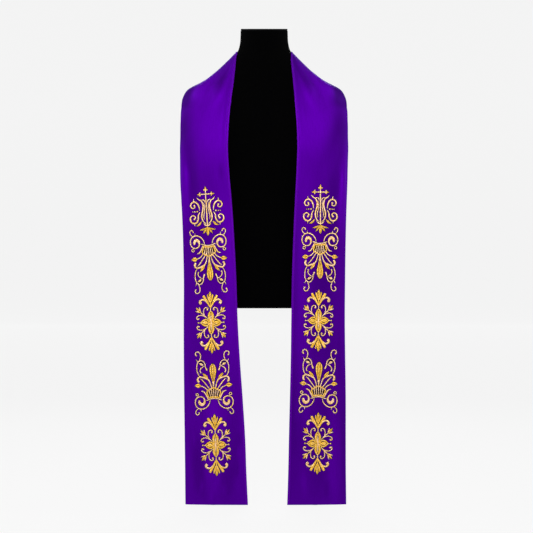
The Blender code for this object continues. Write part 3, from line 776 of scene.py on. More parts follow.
def turned_piece(centre, profile, vertices=32):
    """A round part grown upwards from a disc through steps of radius and height."""
    (low_radius, low), (high_radius, high) = profile[:2]
    deselect_all()
    bpy.ops.mesh.primitive_cone_add(
        vertices=vertices, radius1=low_radius, radius2=high_radius, depth=high - low,
        location=(*centre, 0.5 * (low + high)),
    )
    piece = open_primitive()
    select_faces(piece, lambda normal, middle: middle.z > high - 1e-6)
    for old, new in zip(profile[1:], profile[2:]):
        step_out(bpy.ops.mesh.extrude_region_move, centre, old, new)
    bpy.ops.object.mode_set(mode="OBJECT")
    return piece


# ---------------------------------------------------------------------------------------------
# Finishes
# ---------------------------------------------------------------------------------------------


class Finish:
    """A material and its tree, with short calls that add nodes and give their outputs."""

    def __init__(self, name):
        self.material = bpy.data.materials.new(name)
        self.material.use_nodes = True
        self.tree = self.material.node_tree

    def put(self, value, socket):
        """Joins an output to a socket, or sets the socket to a constant."""
        if isinstance(value, bpy.types.NodeSocket):
            self.tree.links.new(value, socket)
        elif socket.type == "RGBA":
            socket.default_value = (*value, 1.0)
        else:
            socket.default_value = value

    def node(self, kind, output, inputs=None, **settings):
        node = self.tree.nodes.new(kind)
        for key, value in settings.items():
            setattr(node, key, value)
        for key, value in (inputs or {}).items():
            self.put(value, node.inputs[key])
        return node.outputs[output]

    def shaded(self, **values):
        """The material, once its shader's sockets have these values. _ stands for a space."""
        shader = self.tree.nodes["Principled BSDF"]
        for key, value in values.items():
            self.put(value, shader.inputs[key.replace("_", " ")])
        return self.material

    def place(self):
        return self.node("ShaderNodeTexCoord", "Object")

    def uv(self, name):
        return self.node("ShaderNodeUVMap", "UV", uv_map=name)

    def attribute(self, name):
        return self.node("ShaderNodeAttribute", "Fac", attribute_name=name)

    def stretched(self, source, scale, rotation=0.0):
        return self.node("ShaderNodeMapping", "Vector", {
            "Vector": source, "Scale": scale, "Rotation": (0.0, 0.0, rotation)})

    def noise(self, source, scale, detail=2.0):
        return self.node("ShaderNodeTexNoise", "Fac", {
            "Vector": source, "Scale": scale, "Detail": detail})

    def long_noise(self, source, scale, detail=2.0, rotation=0.0):
        """Noise with a scale of its own along each axis."""
        return self.noise(self.stretched(source, scale, rotation), 1.0, detail)

    def wave(self, source, scale, distortion, direction="X"):
        return self.node("ShaderNodeTexWave", "Fac", {
            "Vector": source, "Scale": scale, "Distortion": distortion},
            bands_direction=direction)

    def range(self, source, low, high, to_low=0.0, to_high=1.0):
        return self.node("ShaderNodeMapRange", "Result", {
            "Value": source, "From Min": low, "From Max": high, "To Min": to_low,
            "To Max": to_high})

    def sum(self, first, second, operation="ADD"):
        return self.node("ShaderNodeMath", "Value", {0: first, 1: second},
                         operation=operation, use_clamp=True)

    def blend(self, factor, first, second):
        return self.node("ShaderNodeMix", 2, {"Factor": factor, 6: first, 7: second},
                         data_type="RGBA")

    def bump(self, height, distance, strength, under=None):
        inputs = {"Height": height, "Distance": distance, "Strength": strength}
        if under is not None:
            inputs["Normal"] = under
        return self.node("ShaderNodeBump", "Normal", inputs)


def shade(colour, factor):
    """The same colour, lighter or darker by this factor."""
    return tuple(factor * value for value in colour)


def violet_satin(settings):
    """Satin of the face cloth: long warp floats, slubs, painted light and shade from the depth
    attribute, and painted highlights along the rolled edges.
    """
    finish = Finish("violet satin")
    place = finish.uv("cloth")
    across = finish.node("ShaderNodeSeparateXYZ", "X", {"Vector": place})
    floats = finish.long_noise(place, (2600.0, 420.0, 1.0))
    slubs = finish.long_noise(place, (300.0, 28.0, 1.0), 3.0)
    tone = finish.long_noise(place, (16.0, 5.0, 1.0), 3.0)
    # Painted light and painted shade from the depth attribute, with a little random tone.
    depth = finish.sum(finish.range(tone, 0.3, 0.7, 0.08, -0.08), finish.attribute("depth"))
    base = finish.blend(depth, settings.satin, settings.satin_deep_and_shade)
    flecks = finish.range(slubs, 0.45, 0.75, 0.0, 0.18)
    flecked = finish.blend(flecks, base, settings.satin_deep_and_shade)
    # Painted highlights along the inner and the outer rolled edges.
    near_edge_highlight = finish.range(across, 0.0047, 0.0055, 0.75, 0.0)
    far_edge = finish.range(finish.attribute("far_edge"), 0.0020, 0.0030, 0.35, 0.0)
    edged = finish.blend(near_edge_highlight, flecked, settings.edge_highlight)
    return finish.shaded(
        Base_Color=finish.blend(far_edge, edged, settings.edge_highlight),
        Normal=finish.bump(floats, 0.00006, 0.5, finish.bump(slubs, 0.00012, 0.35)),
        Roughness=finish.range(floats, 0.2, 0.8, 0.44, 0.54), Metallic=0.30,
        Specular_IOR_Level=0.06, Specular_Tint=(0.35, 0.0, 1.0), Sheen_Weight=0.06,
        Sheen_Roughness=0.45, Sheen_Tint=(0.25, 0.0, 1.0),
    )


def violet_lining(settings):
    """Plain-woven lining on the under face of the bands."""
    finish = Finish("violet lining")
    place = finish.uv("cloth")
    warp, weft = (finish.wave(place, 450.0, 0.4, direction) for direction in "XY")
    tone = finish.range(finish.long_noise(place, (20.0, 6.0, 1.0), 3.0), 0.3, 0.7, 0.25, 0.45)
    return finish.shaded(
        Base_Color=finish.blend(tone, settings.satin_deep_and_shade, settings.satin),
        Normal=finish.bump(finish.sum(warp, weft, "MULTIPLY"), 0.0001, 0.4),
        Roughness=0.6, Specular_IOR_Level=0.2, Sheen_Weight=0.1,
    )


WAVE_LENGTH = 0.314  # of a wave texture whose scale is 1
THREAD_SLANT = 0.30


def gold_thread(settings):
    """Gold embroidery thread, laid side by side across each stroke at a slight slant."""
    finish = Finish("gold thread")
    place = finish.uv("thread")
    slanted = finish.stretched(place, (1.0, 1.0, 1.0), THREAD_SLANT)
    threads = finish.wave(slanted, WAVE_LENGTH / settings.pitch, 0.5)
    twist = finish.long_noise(place, (900.0, 2500.0, 1.0), rotation=THREAD_SLANT)
    tone = finish.noise(finish.place(), 260.0)
    fine = finish.range(finish.attribute("breadth"), 1.2, 4.0, 0.9, 0.05)
    shine = finish.sum(finish.range(tone, 0.38, 0.62, -0.40, 0.28), fine)
    thread = finish.blend(shine, settings.gold, settings.gold_pale)
    # Painted shade between the threads, with random deeper patches of gold.
    thread_shade_and_tone = finish.sum(
        finish.range(threads, 0.0, 0.5, 0.50, 0.0), finish.range(tone, 0.34, 0.50, 0.25, 0.0)
    )
    return finish.shaded(
        Base_Color=finish.blend(thread_shade_and_tone, thread, settings.gold_deep_and_shade),
        Normal=finish.bump(twist, 0.00005, 0.5, finish.bump(threads, 0.00012, 0.8)),
        Roughness=finish.range(twist, 0.2, 0.8, 0.28, 0.45), Metallic=0.40,
        Specular_IOR_Level=0.4, Specular_Tint=(1.0, 0.75, 0.35),
    )


def shadow_bedding_thread(settings):
    """Painted shadow: dark stitches that lie flat under the gold and stand out beside it, where
    shade falls round the strokes.
    """
    finish = Finish("bedding thread")
    threads = finish.wave(finish.uv("thread"), WAVE_LENGTH / settings.pitch, 0.5)
    dark = settings.shadow_bedding_colour
    return finish.shaded(
        Base_Color=finish.blend(threads, shade(dark, 0.5), dark),
        Normal=finish.bump(threads, 0.00008, 0.6), Roughness=0.8, Specular_IOR_Level=0.05,
    )


def black_jersey(settings):
    """Fine knitted jersey, nearly black."""
    finish = Finish("black jersey")
    place = finish.place()
    wales = finish.wave(place, 330.0, 0.6, "X")
    courses = finish.wave(place, 420.0, 0.6, "Z")
    nap = finish.range(finish.noise(place, 140.0, 3.0), 0.3, 0.7)
    return finish.shaded(
        Base_Color=finish.blend(nap, shade(settings.jersey, 0.5), settings.jersey),
        Normal=finish.bump(finish.sum(wales, courses, "MULTIPLY"), 0.00025, 0.6),
        Roughness=0.95, Specular_IOR_Level=0.02,
    )


def powder_coat(settings, name="black powder coat", rough=(0.42, 0.58), specular=0.12):
    """Fine-textured black powder coat on the steel, or a matt paint of the same colour."""
    finish = Finish(name)
    place = finish.place()
    grain = finish.noise(place, 1400.0)
    wear = finish.range(finish.noise(place, 45.0, 4.0), 0.45, 0.75)
    return finish.shaded(
        Base_Color=finish.blend(wear, settings.coat, shade(settings.coat, 2.2)),
        Normal=finish.bump(grain, 0.00015, 0.5),
        Roughness=finish.range(grain, 0.3, 0.7, *rough), Specular_IOR_Level=specular,
    )


def screw_steel():
    """Zinc-plated steel of the screws."""
    finish = Finish("screw steel")
    brushed = finish.long_noise(finish.place(), (900.0, 900.0, 120.0))
    return finish.shaded(
        Base_Color=finish.blend(brushed, (0.30, 0.30, 0.31), (0.46, 0.46, 0.47)),
        Roughness=finish.range(brushed, 0.3, 0.7, 0.25, 0.42), Metallic=1.0,
    )


def foot_rubber():
    """Soft rubber of the pads under the feet."""
    finish = Finish("foot rubber")
    grain = finish.noise(finish.place(), 900.0)
    return finish.shaded(
        Base_Color=finish.blend(grain, (0.010, 0.010, 0.010), (0.020, 0.020, 0.020)),
        Normal=finish.bump(grain, 0.0001, 0.4), Roughness=0.8,
    )


def backdrop_paper(settings):
    """Seamless paper of the floor and backdrop, which looks white by its own even light."""
    finish = Finish("backdrop paper")
    mottle = finish.noise(finish.place(), 1.5, 3.0)
    return finish.shaded(
        Base_Color=finish.blend(mottle, shade(settings.floor, 0.985), settings.floor),
        Roughness=0.9, Specular_IOR_Level=0.1, Emission_Color=(1.0, 1.0, 1.0),
        Emission_Strength=settings.glow,
    )


# ---------------------------------------------------------------------------------------------
# The form
# ---------------------------------------------------------------------------------------------

NECK_STRAIGHT = 1.2703  # the height from which the neck slopes
PLATE_INSET = 0.0006
# The neck plate's face from its rim in: a margin, a step down, a broad ring and a low boss.
PLATE_STEPS = ((0.0060, 0.0), (0.0010, -0.0010), (0.0420, 0.0), (0.0008, 0.0008))
COVER_SEAMS = (0.0, 88.0, 272.0)  # degrees from the centre back
SEAM_REACH = 0.9  # degrees on each side
SEAM_OFFSETS = (-1.2, -0.7, -0.35, 0.0, 0.35, 0.7, 1.2)
# The cover under the base, from the middle out: height above the base, and distance inwards.
BASE_EDGE = ((0.0, 0.016), (0.0, 0.0105), (0.0008, 0.0100), (0.0008, 0.0080), (0.0, 0.0074))
# The cover's rings above its rounded base start here, then go up to each height in so many.
FIRST_RING = FORM_BASE + 0.012
RING_SPANS = ((1.0100, 44), (1.1577, 26), (1.2372, 15))
TOP_RINGS = 12
TOP_ROUNDING = 0.0015


def neck_lean(points):
    """Height to add so that the top of the neck slopes down to the front."""
    blend = np.clip((points[..., 2] - NECK_STRAIGHT) / (NECK_TOP - NECK_STRAIGHT), 0.0, 1.0)
    middle = FORM_SKIN.section(points[..., 2])[1]
    return blend * math.tan(NECK_SLOPE) * (points[..., 1] - middle)


def turn_between(angle, seam):
    """Degrees between two directions, the short way round."""
    return np.abs((angle - seam + 180.0) % 360.0 - 180.0)


def cover_angles():
    """Angles of the cover's points, closer together at its seams."""
    angles = set(np.arange(0.0, 360.0, 3.0).tolist())
    for seam in COVER_SEAMS:
        angles -= {angle for angle in angles if turn_between(angle, seam) < 1.6}
        angles |= {(seam + offset) % 360.0 for offset in SEAM_OFFSETS}
    return np.array(sorted(angles))


def cover_points(settings):
    """Rings of the jersey cover, from the middle of its base to the top of the neck."""
    radius = settings.hem_radius
    top = NECK_TOP - NECK_PLATE - SEAM_GAP
    turn = np.radians(np.linspace(0.0, 90.0, 6))
    levels = [(FORM_BASE + rise, inwards) for rise, inwards in BASE_EDGE]
    levels += [(FORM_BASE + radius * (1 - math.sin(t)), radius * (1 - math.cos(t)))
               for t in turn[::-1]]
    heights = [FIRST_RING]
    for reach, count in (*RING_SPANS, (top - TOP_ROUNDING, TOP_RINGS)):
        heights += np.linspace(heights[-1], reach, count)[1:].tolist()
    levels += [(z, 0.0) for z in heights]
    levels += [(top - TOP_ROUNDING + TOP_ROUNDING * math.sin(t),
                TOP_ROUNDING * (1 - math.cos(t))) for t in turn[2:]]
    angles = cover_angles()
    side = np.where(angles <= 180.0, 1.0, -1.0)
    folded = np.minimum(angles, 360.0 - angles)
    away = np.min([turn_between(angles, seam) for seam in COVER_SEAMS], axis=0)
    pull = settings.seam_depth * np.clip(1.0 - away / SEAM_REACH, 0.0, 1.0)
    rings = []
    for z, inwards in levels:
        ring_points = FORM_SKIN.at_angle(folded, z, side)
        outward = FORM_SKIN.normal(ring_points)
        outward /= np.hypot(outward[:, 0], outward[:, 1])[:, None]
        ring_points = ring_points - (inwards + pull)[:, None] * outward
        ring_points[:, 2] = z + neck_lean(ring_points)
        ring_points[:, 1] += AXIS_Y
        rings.append(ring_points)
    return np.array(rings)


class STOLE_OT_form_cover(bpy.types.Operator):
    """Adds the padded form in its seamed jersey cover"""

    bl_idname = "stole.form_cover"
    bl_label = "Form Cover"

    def execute(self, context):
        settings = context.scene.stole.form
        points = cover_points(settings)
        rings, around = points.shape[:2]
        faces = ring_quads(rings, around)
        faces.append(list(range(around))[::-1])
        faces.append(list(range((rings - 1) * around, rings * around)))
        cover = new_mesh_object(
            "form_cover", points.reshape(-1, 3), faces, [black_jersey(settings)]
        )
        turn_outwards(cover)
        cover.data.set_sharp_from_angle(angle=math.radians(60.0))
        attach(cover, "root")
        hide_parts("torso")
        return {"FINISHED"}


class STOLE_OT_neck_plate(bpy.types.Operator):
    """Adds the turned plate that closes the neck, with its low boss"""

    bl_idname = "stole.neck_plate"
    bl_label = "Neck Plate"

    def execute(self, context):
        settings = context.scene.stole.stand
        half_width, middle, front, _, _ = FORM_SKIN.section(np.array(NECK_TOP)).tolist()
        radius = half_width - PLATE_INSET
        centre = (0.0, AXIS_Y + middle, NECK_TOP - 0.5 * NECK_PLATE)
        deselect_all()
        bpy.ops.mesh.primitive_cylinder_add(
            vertices=96, radius=radius, depth=NECK_PLATE, location=centre
        )
        plate = open_primitive()
        select_faces(plate, lambda normal, middle: normal.z > 0.9)
        inset(*PLATE_STEPS)
        bpy.ops.mesh.select_all(action="SELECT")
        depth_share = (front - PLATE_INSET) / radius
        bpy.ops.transform.resize(value=(1.0, depth_share, 1.0), center_override=centre)
        bpy.ops.transform.rotate(value=-NECK_SLOPE, orient_axis="X", center_override=centre)
        matt = powder_coat(settings, "matt black paint", (0.86, 0.96), 0.03)
        finish_piece(plate, "neck_cap", matt, 0.0007)
        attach(plate, "root")
        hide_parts("neck_plate")
        return {"FINISHED"}


# ---------------------------------------------------------------------------------------------
# The stand
# ---------------------------------------------------------------------------------------------

# Turned parts, as steps of radius and height. A leg's steps add to its radius and go up from
# its foot, past the weld and the clamp collar.
SCREW_PROFILE = ((0.0030, 0.0), (0.0034, 0.0006), (0.0034, 0.0014), (0.0026, 0.0022))
SCREW_SOCKET = ((0.0010, 0.0), (0.0001, -0.0009))  # as insets
PAD_PROFILE = ((0.0110, 0.0), (0.0120, 0.0004), (0.0120, 0.0040))
LEG_PROFILE = (
    (0.0035, 0.0), (0.0030, 0.0012), (0.0012, 0.0030), (0.0, 0.0055), (0.0, 0.120),
    (0.0, 0.240), (0.0, 0.360), (0.0, 0.4000), (0.0035, 0.4000), (0.0035, 0.4240),
)
KNOB_RADIUS, KNOB_DEPTH, KNOB_FACES = 0.0075, 0.012, 24
BOSS_RADIUS, BOSS_HEIGHT = 0.0150, 0.0018
COLLAR_MIDDLE = 0.412
TUBE_END = 0.0015  # how far the tube above the collar is set in
BAR_UNDERSIDE = 0.0015
BAR_HOLLOW = ((0.0040, 0.0), (0.0010, -0.0015))  # in the bar's underside, as insets
PAD_FROM_END = 0.022
COUNTERSUNK = 0.0004  # how far a foot's screws are let into it
FOOT_SCREW, FLANGE_SCREW = 0.050, 0.0215  # from the leg's axis


def screw(x, y, z, steel, down=False):
    """A low round-headed screw with a round socket."""
    sign = -1.0 if down else 1.0
    profile = [(radius, z + sign * height) for radius, height in SCREW_PROFILE]
    head = turned_piece((x, y), profile[::-1] if down else profile, 24)
    bpy.ops.object.mode_set(mode="EDIT")
    select_faces(head, lambda normal, middle: sign * normal.z > 0.9)
    inset(*SCREW_SOCKET)
    return finish_piece(head, "screw", steel)


class STOLE_OT_stand(bpy.types.Operator):
    """Adds the two feet, the legs and the flanges that carry the form"""

    bl_idname = "stole.stand"
    bl_label = "Stand"

    def execute(self, context):
        settings = context.scene.stole.stand
        coat, steel = powder_coat(settings), screw_steel()
        pieces = [
            self.foot(-LEG_X, settings, coat, steel), self.leg(-LEG_X, settings, coat),
            self.flange(-LEG_X, settings, coat, steel),
        ]
        for left in pieces[:]:
            right = copied(left, 2.0 * LEG_X)
            right.name = right.data.name = left.name.replace("left", "right")
            pieces.append(right)
        nodes = ("foot_left", "leg_left", "flange_left", "foot_right", "leg_right", "flange_right")
        for piece, node in zip(pieces, nodes):
            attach(piece, "root")
            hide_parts(node)
        return {"FINISHED"}

    def foot(self, x, settings, coat, steel):
        """A flat bar with rounded corners on two rubber pads, with the leg's two screws."""
        low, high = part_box("foot_left")
        middle = (x, 0.5 * (low[1] + high[1]), 0.5 * (BAR_UNDERSIDE + settings.foot_height))
        deselect_all()
        bpy.ops.mesh.primitive_cube_add(size=1.0, location=middle)
        bpy.context.object.scale = (
            settings.foot_width, high[1] - low[1], settings.foot_height - BAR_UNDERSIDE
        )
        bar = open_primitive()
        select_edges(bar, lambda a, b: abs(a.z - b.z) > BAR_UNDERSIDE)
        bpy.ops.mesh.bevel(offset=0.45 * settings.foot_width, segments=10, affect="EDGES")
        select_faces(bar, lambda normal, middle: normal.z < -0.9)
        inset(*BAR_HOLLOW)
        finish_piece(bar, "bar", coat, 0.0012, 3)
        pad = turned_piece((x, low[1] + PAD_FROM_END), PAD_PROFILE)
        finish_piece(pad, "pad", foot_rubber(), 0.0002)
        far_pad = copied(pad, y=high[1] - low[1] - 2.0 * PAD_FROM_END)
        bolt = screw(x, AXIS_Y - FOOT_SCREW, settings.foot_height - COUNTERSUNK, steel)
        far_bolt = copied(bolt, y=2.0 * FOOT_SCREW)
        return join_pieces([bar, pad, far_pad, bolt, far_bolt], "foot_bar_left")

    def leg(self, x, settings, coat):
        """A tube with a weld at its foot and a clamp collar under the form."""
        low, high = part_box("leg_left")
        r, z = settings.leg_radius, low[2]
        profile = [(r + added, z + height) for added, height in LEG_PROFILE]
        profile += [(r - TUBE_END, profile[-1][1]), (r - TUBE_END, high[2])]
        tube = finish_piece(turned_piece((x, AXIS_Y), profile, 40), "tube", coat, 0.0006)
        knob = self.collar_knob(x, AXIS_Y + r + 0.0030, z + COLLAR_MIDDLE, coat)
        return join_pieces([tube, knob], "leg_tube_left")

    def collar_knob(self, x, y, z, coat):
        """The fluted knob that locks the collar, at the back of the leg."""
        deselect_all()
        bpy.ops.mesh.primitive_cylinder_add(
            vertices=KNOB_FACES, radius=KNOB_RADIUS, depth=KNOB_DEPTH,
            location=(x, y + 0.5 * KNOB_DEPTH, z), rotation=(math.radians(90.0), 0.0, 0.0),
        )
        knob = open_primitive()

        def on_flute(normal, middle):
            """True for every other face round the side."""
            facing = math.degrees(math.atan2(normal.z, normal.x)) / (360.0 / KNOB_FACES) - 0.5
            return abs(normal.y) < 0.5 and round(facing) % 2 == 0

        select_faces(knob, on_flute)
        inset((0.0003, -0.0007), use_individual=True)
        select_faces(knob, lambda normal, middle: normal.y > 0.9)
        inset((0.0012, 0.0010))
        return finish_piece(knob, "knob", coat, 0.0002)

    def flange(self, x, settings, coat, steel):
        """A round plate under the form with a boss and four screws."""
        low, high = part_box("flange_left")
        r, boss = settings.flange_radius, low[2] + BOSS_HEIGHT
        profile = [(BOSS_RADIUS, low[2]), (BOSS_RADIUS, boss), (r - 0.0006, boss),
                   (r, boss + 0.0006), (r, high[2])]
        plate = finish_piece(turned_piece((x, AXIS_Y), profile, 64), "plate", coat, 0.0004)
        aside = FLANGE_SCREW * math.cos(math.radians(45.0))
        bolt = screw(x + aside, AXIS_Y + aside, boss + 0.0001, steel, down=True)
        others = [copied(bolt, -2.0 * aside), copied(bolt, -2.0 * aside, -2.0 * aside),
                  copied(bolt, 0.0, -2.0 * aside)]
        return join_pieces([plate, bolt] + others, "flange_plate_left")


# ---------------------------------------------------------------------------------------------
# The bands
# ---------------------------------------------------------------------------------------------

ROWS_PER_CELL = 4
# Columns near an edge, by their distance from it.
EDGE_STEPS = np.array(
    [0.0, 0.0005, 0.0012, 0.0021, 0.0030, 0.0039, 0.0046, 0.0051, 0.0056, 0.0062, 0.0072]
)
INNER_COLUMNS = 34
RIM_TURNS = np.radians([60.0, 20.0, -20.0, -60.0])
HEM_TURNS = np.radians([35.0, 62.0, 82.0])
RIM_BULGE = 0.0007
HEM_DROP = 0.0006
EASED_FROM, EASED_OVER, EASED_SPREAD = 0.23, 0.05, 0.010
# The groove beside a rolled edge, the dip at the neck seam and the stitched line of the hem.
GROOVE_PLACE, GROOVE_WIDTH, GROOVE_DEPTH = 1.1, 0.0011, 0.5
ROLL_ROUNDNESS = 0.6
SEAM_DIP, SEAM_WIDTH = 0.0006, 0.004
HEM_DIP, HEM_WIDTH, HEM_PLACE = 0.0002, 0.0035, 0.025
# A fold's colour is painted lighter on its top and deeper in its trough, a painted highlight and
# painted shade, by so much at about this lift.
FOLD_SHADE, FOLD_SHADE_LIFT = 0.24, 0.0014


def smooth_path(points, cells):
    """Points along a curve through these, with so many cells after each of them."""
    lengths = np.linalg.norm(np.diff(points, axis=0), axis=1)[:, None]
    chords = np.diff(points, axis=0) / lengths
    slopes = np.concatenate([chords[:1], inner_slopes(chords, lengths), chords[-1:]])
    path = []
    for row, count in enumerate(cells[:-1]):
        t = np.arange(count)[:, None] / count
        path.append(curve_between(points[row], points[row + 1], slopes[row], slopes[row + 1],
                                  lengths[row], t))
    return np.concatenate(path + [points[-1:]])


def edge_paths(side):
    """The inner and outer edges of a band as rows of points."""
    sign = SIDES[side]
    inner = [DRAPE_SKIN.at_angle(row.inner_angle, row.inner_z, sign) for row in COLLAR]
    outer = [DRAPE_SKIN.at_angle(row.outer_angle, row.outer_z, sign) for row in COLLAR]
    for row in FRONT:
        inner_x, outer_x = getattr(row, f"inner_{side}"), getattr(row, f"outer_{side}")
        inner.append(DRAPE_SKIN.on_front(sign * inner_x, row.inner_z))
        outer.append(DRAPE_SKIN.on_front(sign * outer_x, row.outer_z))
    cells = [row.cells * ROWS_PER_CELL for row in COLLAR + FRONT]
    return smooth_path(np.array(inner), cells), smooth_path(np.array(outer), cells)


def eased(points, normal, along):
    """Rounds off the bends along a band, from the shoulder down, without moving its edges."""
    weight = np.exp(-0.5 * ((along - along.T) / EASED_SPREAD) ** 2) * np.gradient(along[:, 0])
    weight /= weight.sum(axis=1, keepdims=True)
    moved = np.einsum("rs,scx->rcx", weight, points) - points
    t = np.clip((along - EASED_FROM) / EASED_OVER, 0.0, 1.0)
    out = (moved * normal).sum(axis=-1) * t * t * (3.0 - 2.0 * t)
    return points + normal * out[..., None]


def with_patches(amount, patches, along, across):
    """Adds soft patches to an amount at each place on a band."""
    for middle, length, inwards, width, drift, change in patches:
        run = (along - middle) / length
        drifted = inwards + 0.5 * drift * run
        amount += change * soft_bump(run) * soft_bump((across - drifted) / width)
    return amount


def edge_relief(distance, settings):
    """The rolled edge, its groove and the flat cloth beyond, by the distance from the edge."""
    rolled = distance / settings.roll_width
    roll = np.where(rolled < 1.0, np.sin(np.pi * np.clip(rolled, 0.0, 1.0)) ** ROLL_ROUNDNESS, 0.0)
    groove = soft_bump((distance - GROOVE_PLACE * settings.roll_width) / GROOVE_WIDTH)
    return settings.roll_height * (roll - GROOVE_DEPTH * groove)


def round_wall(values):
    """What a band's columns hold, carried on over its far rim, under face and near rim."""
    turns = len(RIM_TURNS)
    return np.concatenate([values, np.repeat(values[:, -1:], turns, 1), values[:, ::-1],
                           np.repeat(values[:, :1], turns, 1)], axis=1)


class Band:
    """The rows and columns of one band's cloth, as arrays of points."""

    def __init__(self, side, settings):
        self.sign = SIDES[side]
        inner, outer = edge_paths(side)
        middle = 0.5 * (inner + outer)
        steps = np.linalg.norm(np.diff(middle, axis=0), axis=1)
        self.along = np.concatenate([[0.0], np.cumsum(steps)])[:, None]
        self.width = np.linalg.norm(outer - inner, axis=1)[:, None]
        field = EDGE_STEPS[-1] + np.linspace(0.0, 1.0, INNER_COLUMNS + 2)[None, 1:-1] * (
            self.width - 2.0 * EDGE_STEPS[-1]
        )
        near = np.repeat(EDGE_STEPS[None], len(self.along), 0)
        self.across = np.concatenate([near, field, self.width - EDGE_STEPS[::-1]], axis=1)
        share = (self.across / self.width)[..., None]
        base = DRAPE_SKIN.level_with(inner[:, None] + (outer - inner)[:, None] * share)
        normal = DRAPE_SKIN.normal(base)
        base = eased(base, normal, self.along)
        place = self.along, self.across
        even, folds = np.zeros(self.across.shape), MAIN_FOLDS[side] + SMALL_FOLDS[side]
        lift = with_patches(even, folds, *place)
        # Painted light and painted shade of the satin, as a depth of colour at each place.
        self.depth = with_patches(np.full(self.across.shape, EVEN_TONE), PAINTED_LIGHT_AND_SHADE[side], *place)
        # Painted highlight on each fold's top and painted shade in its trough.
        self.depth -= FOLD_SHADE * np.tanh(lift / FOLD_SHADE_LIFT)
        self.under = base + normal * (settings.gap + lift)[..., None]
        relief = edge_relief(self.across, settings)
        relief += edge_relief(self.width - self.across, settings)
        relief -= SEAM_DIP * soft_bump(self.along / SEAM_WIDTH)
        relief -= HEM_DIP * soft_bump((self.along[-1] - HEM_PLACE - self.along) / HEM_WIDTH)
        self.face = self.under + normal * (settings.wall + relief)[..., None]
        self.out_of_edge = (outer - inner) / self.width
        for points in (self.under, self.face):
            self.keep_to_side(points)
            points[..., 1] += AXIS_Y

    def keep_to_side(self, points):
        """Moves points that are past the centre-back seam back to it."""
        points[..., 0] = self.sign * np.maximum(self.sign * points[..., 0], 0.5 * SEAM_GAP)

    def rim(self, column, direction):
        """Rounded points between the face and the under face along one edge."""
        centre = 0.5 * (self.face[:, column] + self.under[:, column])
        half = 0.5 * (self.face[:, column] - self.under[:, column])
        turns = RIM_TURNS[None, :, None]
        bulge = RIM_BULGE * direction * self.out_of_edge[:, None]
        points = centre[:, None] + half[:, None] * np.sin(turns) + bulge * np.cos(turns)
        self.keep_to_side(points)
        return points

    def mesh_parts(self):
        """Points, faces, face kinds, cloth places, depths of painted light and shade, and
        distances from the outer edge of the closed wall, in loops round it from the seam down to
        the turned hem."""
        far, near = self.rim(-1, 1.0), self.rim(0, -1.0)[:, ::-1]
        points = np.concatenate([self.face, far, self.under[:, ::-1], near], axis=1)
        rows, around = points.shape[:2]
        columns, turns = self.face.shape[1], len(RIM_TURNS)
        # each point of the face and the far rim, and the one behind it
        first = np.arange(columns + turns)
        partner = np.concatenate([first[:columns][::-1] + columns + turns,
                                  first[:turns][::-1] + 2 * columns + turns])
        middle = points[-1].copy()
        middle[first] = 0.5 * (points[-1, first] + points[-1, partner])
        middle[partner] = middle[first]
        down = points[-1] - points[-2]
        down /= np.linalg.norm(down, axis=1)[:, None]
        hem = [middle + (points[-1] - middle) * math.cos(turn)
               + down * RIM_BULGE * math.sin(turn) for turn in HEM_TURNS]
        points = np.concatenate([points, np.array(hem)])
        across = round_wall(self.across)
        values = np.stack([across, np.broadcast_to(self.along, across.shape),
                           round_wall(self.depth), self.width - across], axis=-1)
        values = np.concatenate([values, np.repeat(values[-1:], len(hem), 0)])
        values[rows:, :, 1] += HEM_DROP
        total = rows + len(hem)
        faces = ring_quads(total, around)
        kinds = np.zeros((total - 1, around), int)
        kinds[:, columns + turns:2 * columns + turns - 1] = 1
        # the closed ends, at the seam and inside the hem
        index = np.arange(total * around).reshape(total, around)
        for row, order in ((0, -1), (total - 1, 1)):
            ends = [
                [index[row, column], index[row, column + 1], index[row, partner[column] - 1],
                 index[row, partner[column]]] for column in range(columns - 1)
            ]
            for start in (columns - 1, 2 * columns + turns - 1):
                ends.append([index[row, (start + step) % around] for step in range(turns + 2)])
            faces += [[int(v) for v in end[::order]] for end in ends]
        kinds = kinds.ravel().tolist() + [0] * (2 * (columns + 1))
        values = values.reshape(-1, 4)
        return points.reshape(-1, 3), faces, kinds, values[:, :2], values[:, 2], values[:, 3]

    def face_tree(self):
        """The outer face as a tree that rays can be cast on."""
        rows, columns = self.face.shape[:2]
        index = np.arange(rows * columns).reshape(rows, columns)
        quads = np.stack([index[:-1, :-1], index[:-1, 1:], index[1:, 1:], index[1:, :-1]], -1)
        return BVHTree.FromPolygons(
            self.face.reshape(-1, 3).tolist(), quads.reshape(-1, 4).tolist()
        )

    def middle_length(self):
        """Length of the flat cut, down the middle of the under face."""
        middle = self.under[:, self.under.shape[1] // 2]
        return float(np.linalg.norm(np.diff(middle, axis=0), axis=1).sum())

    def cut_area(self):
        """Area of the flat cut, from the rows of the under face."""
        row_width = np.linalg.norm(np.diff(self.under, axis=1), axis=2).sum(axis=1)
        steps = np.diff(self.along[:, 0])
        return float((0.5 * (row_width[1:] + row_width[:-1]) * steps).sum())


def add_float_attribute(piece, name, values):
    layer = piece.data.attributes.new(name, "FLOAT", "POINT")
    layer.data.foreach_set("value", np.asarray(values, dtype=np.float32))


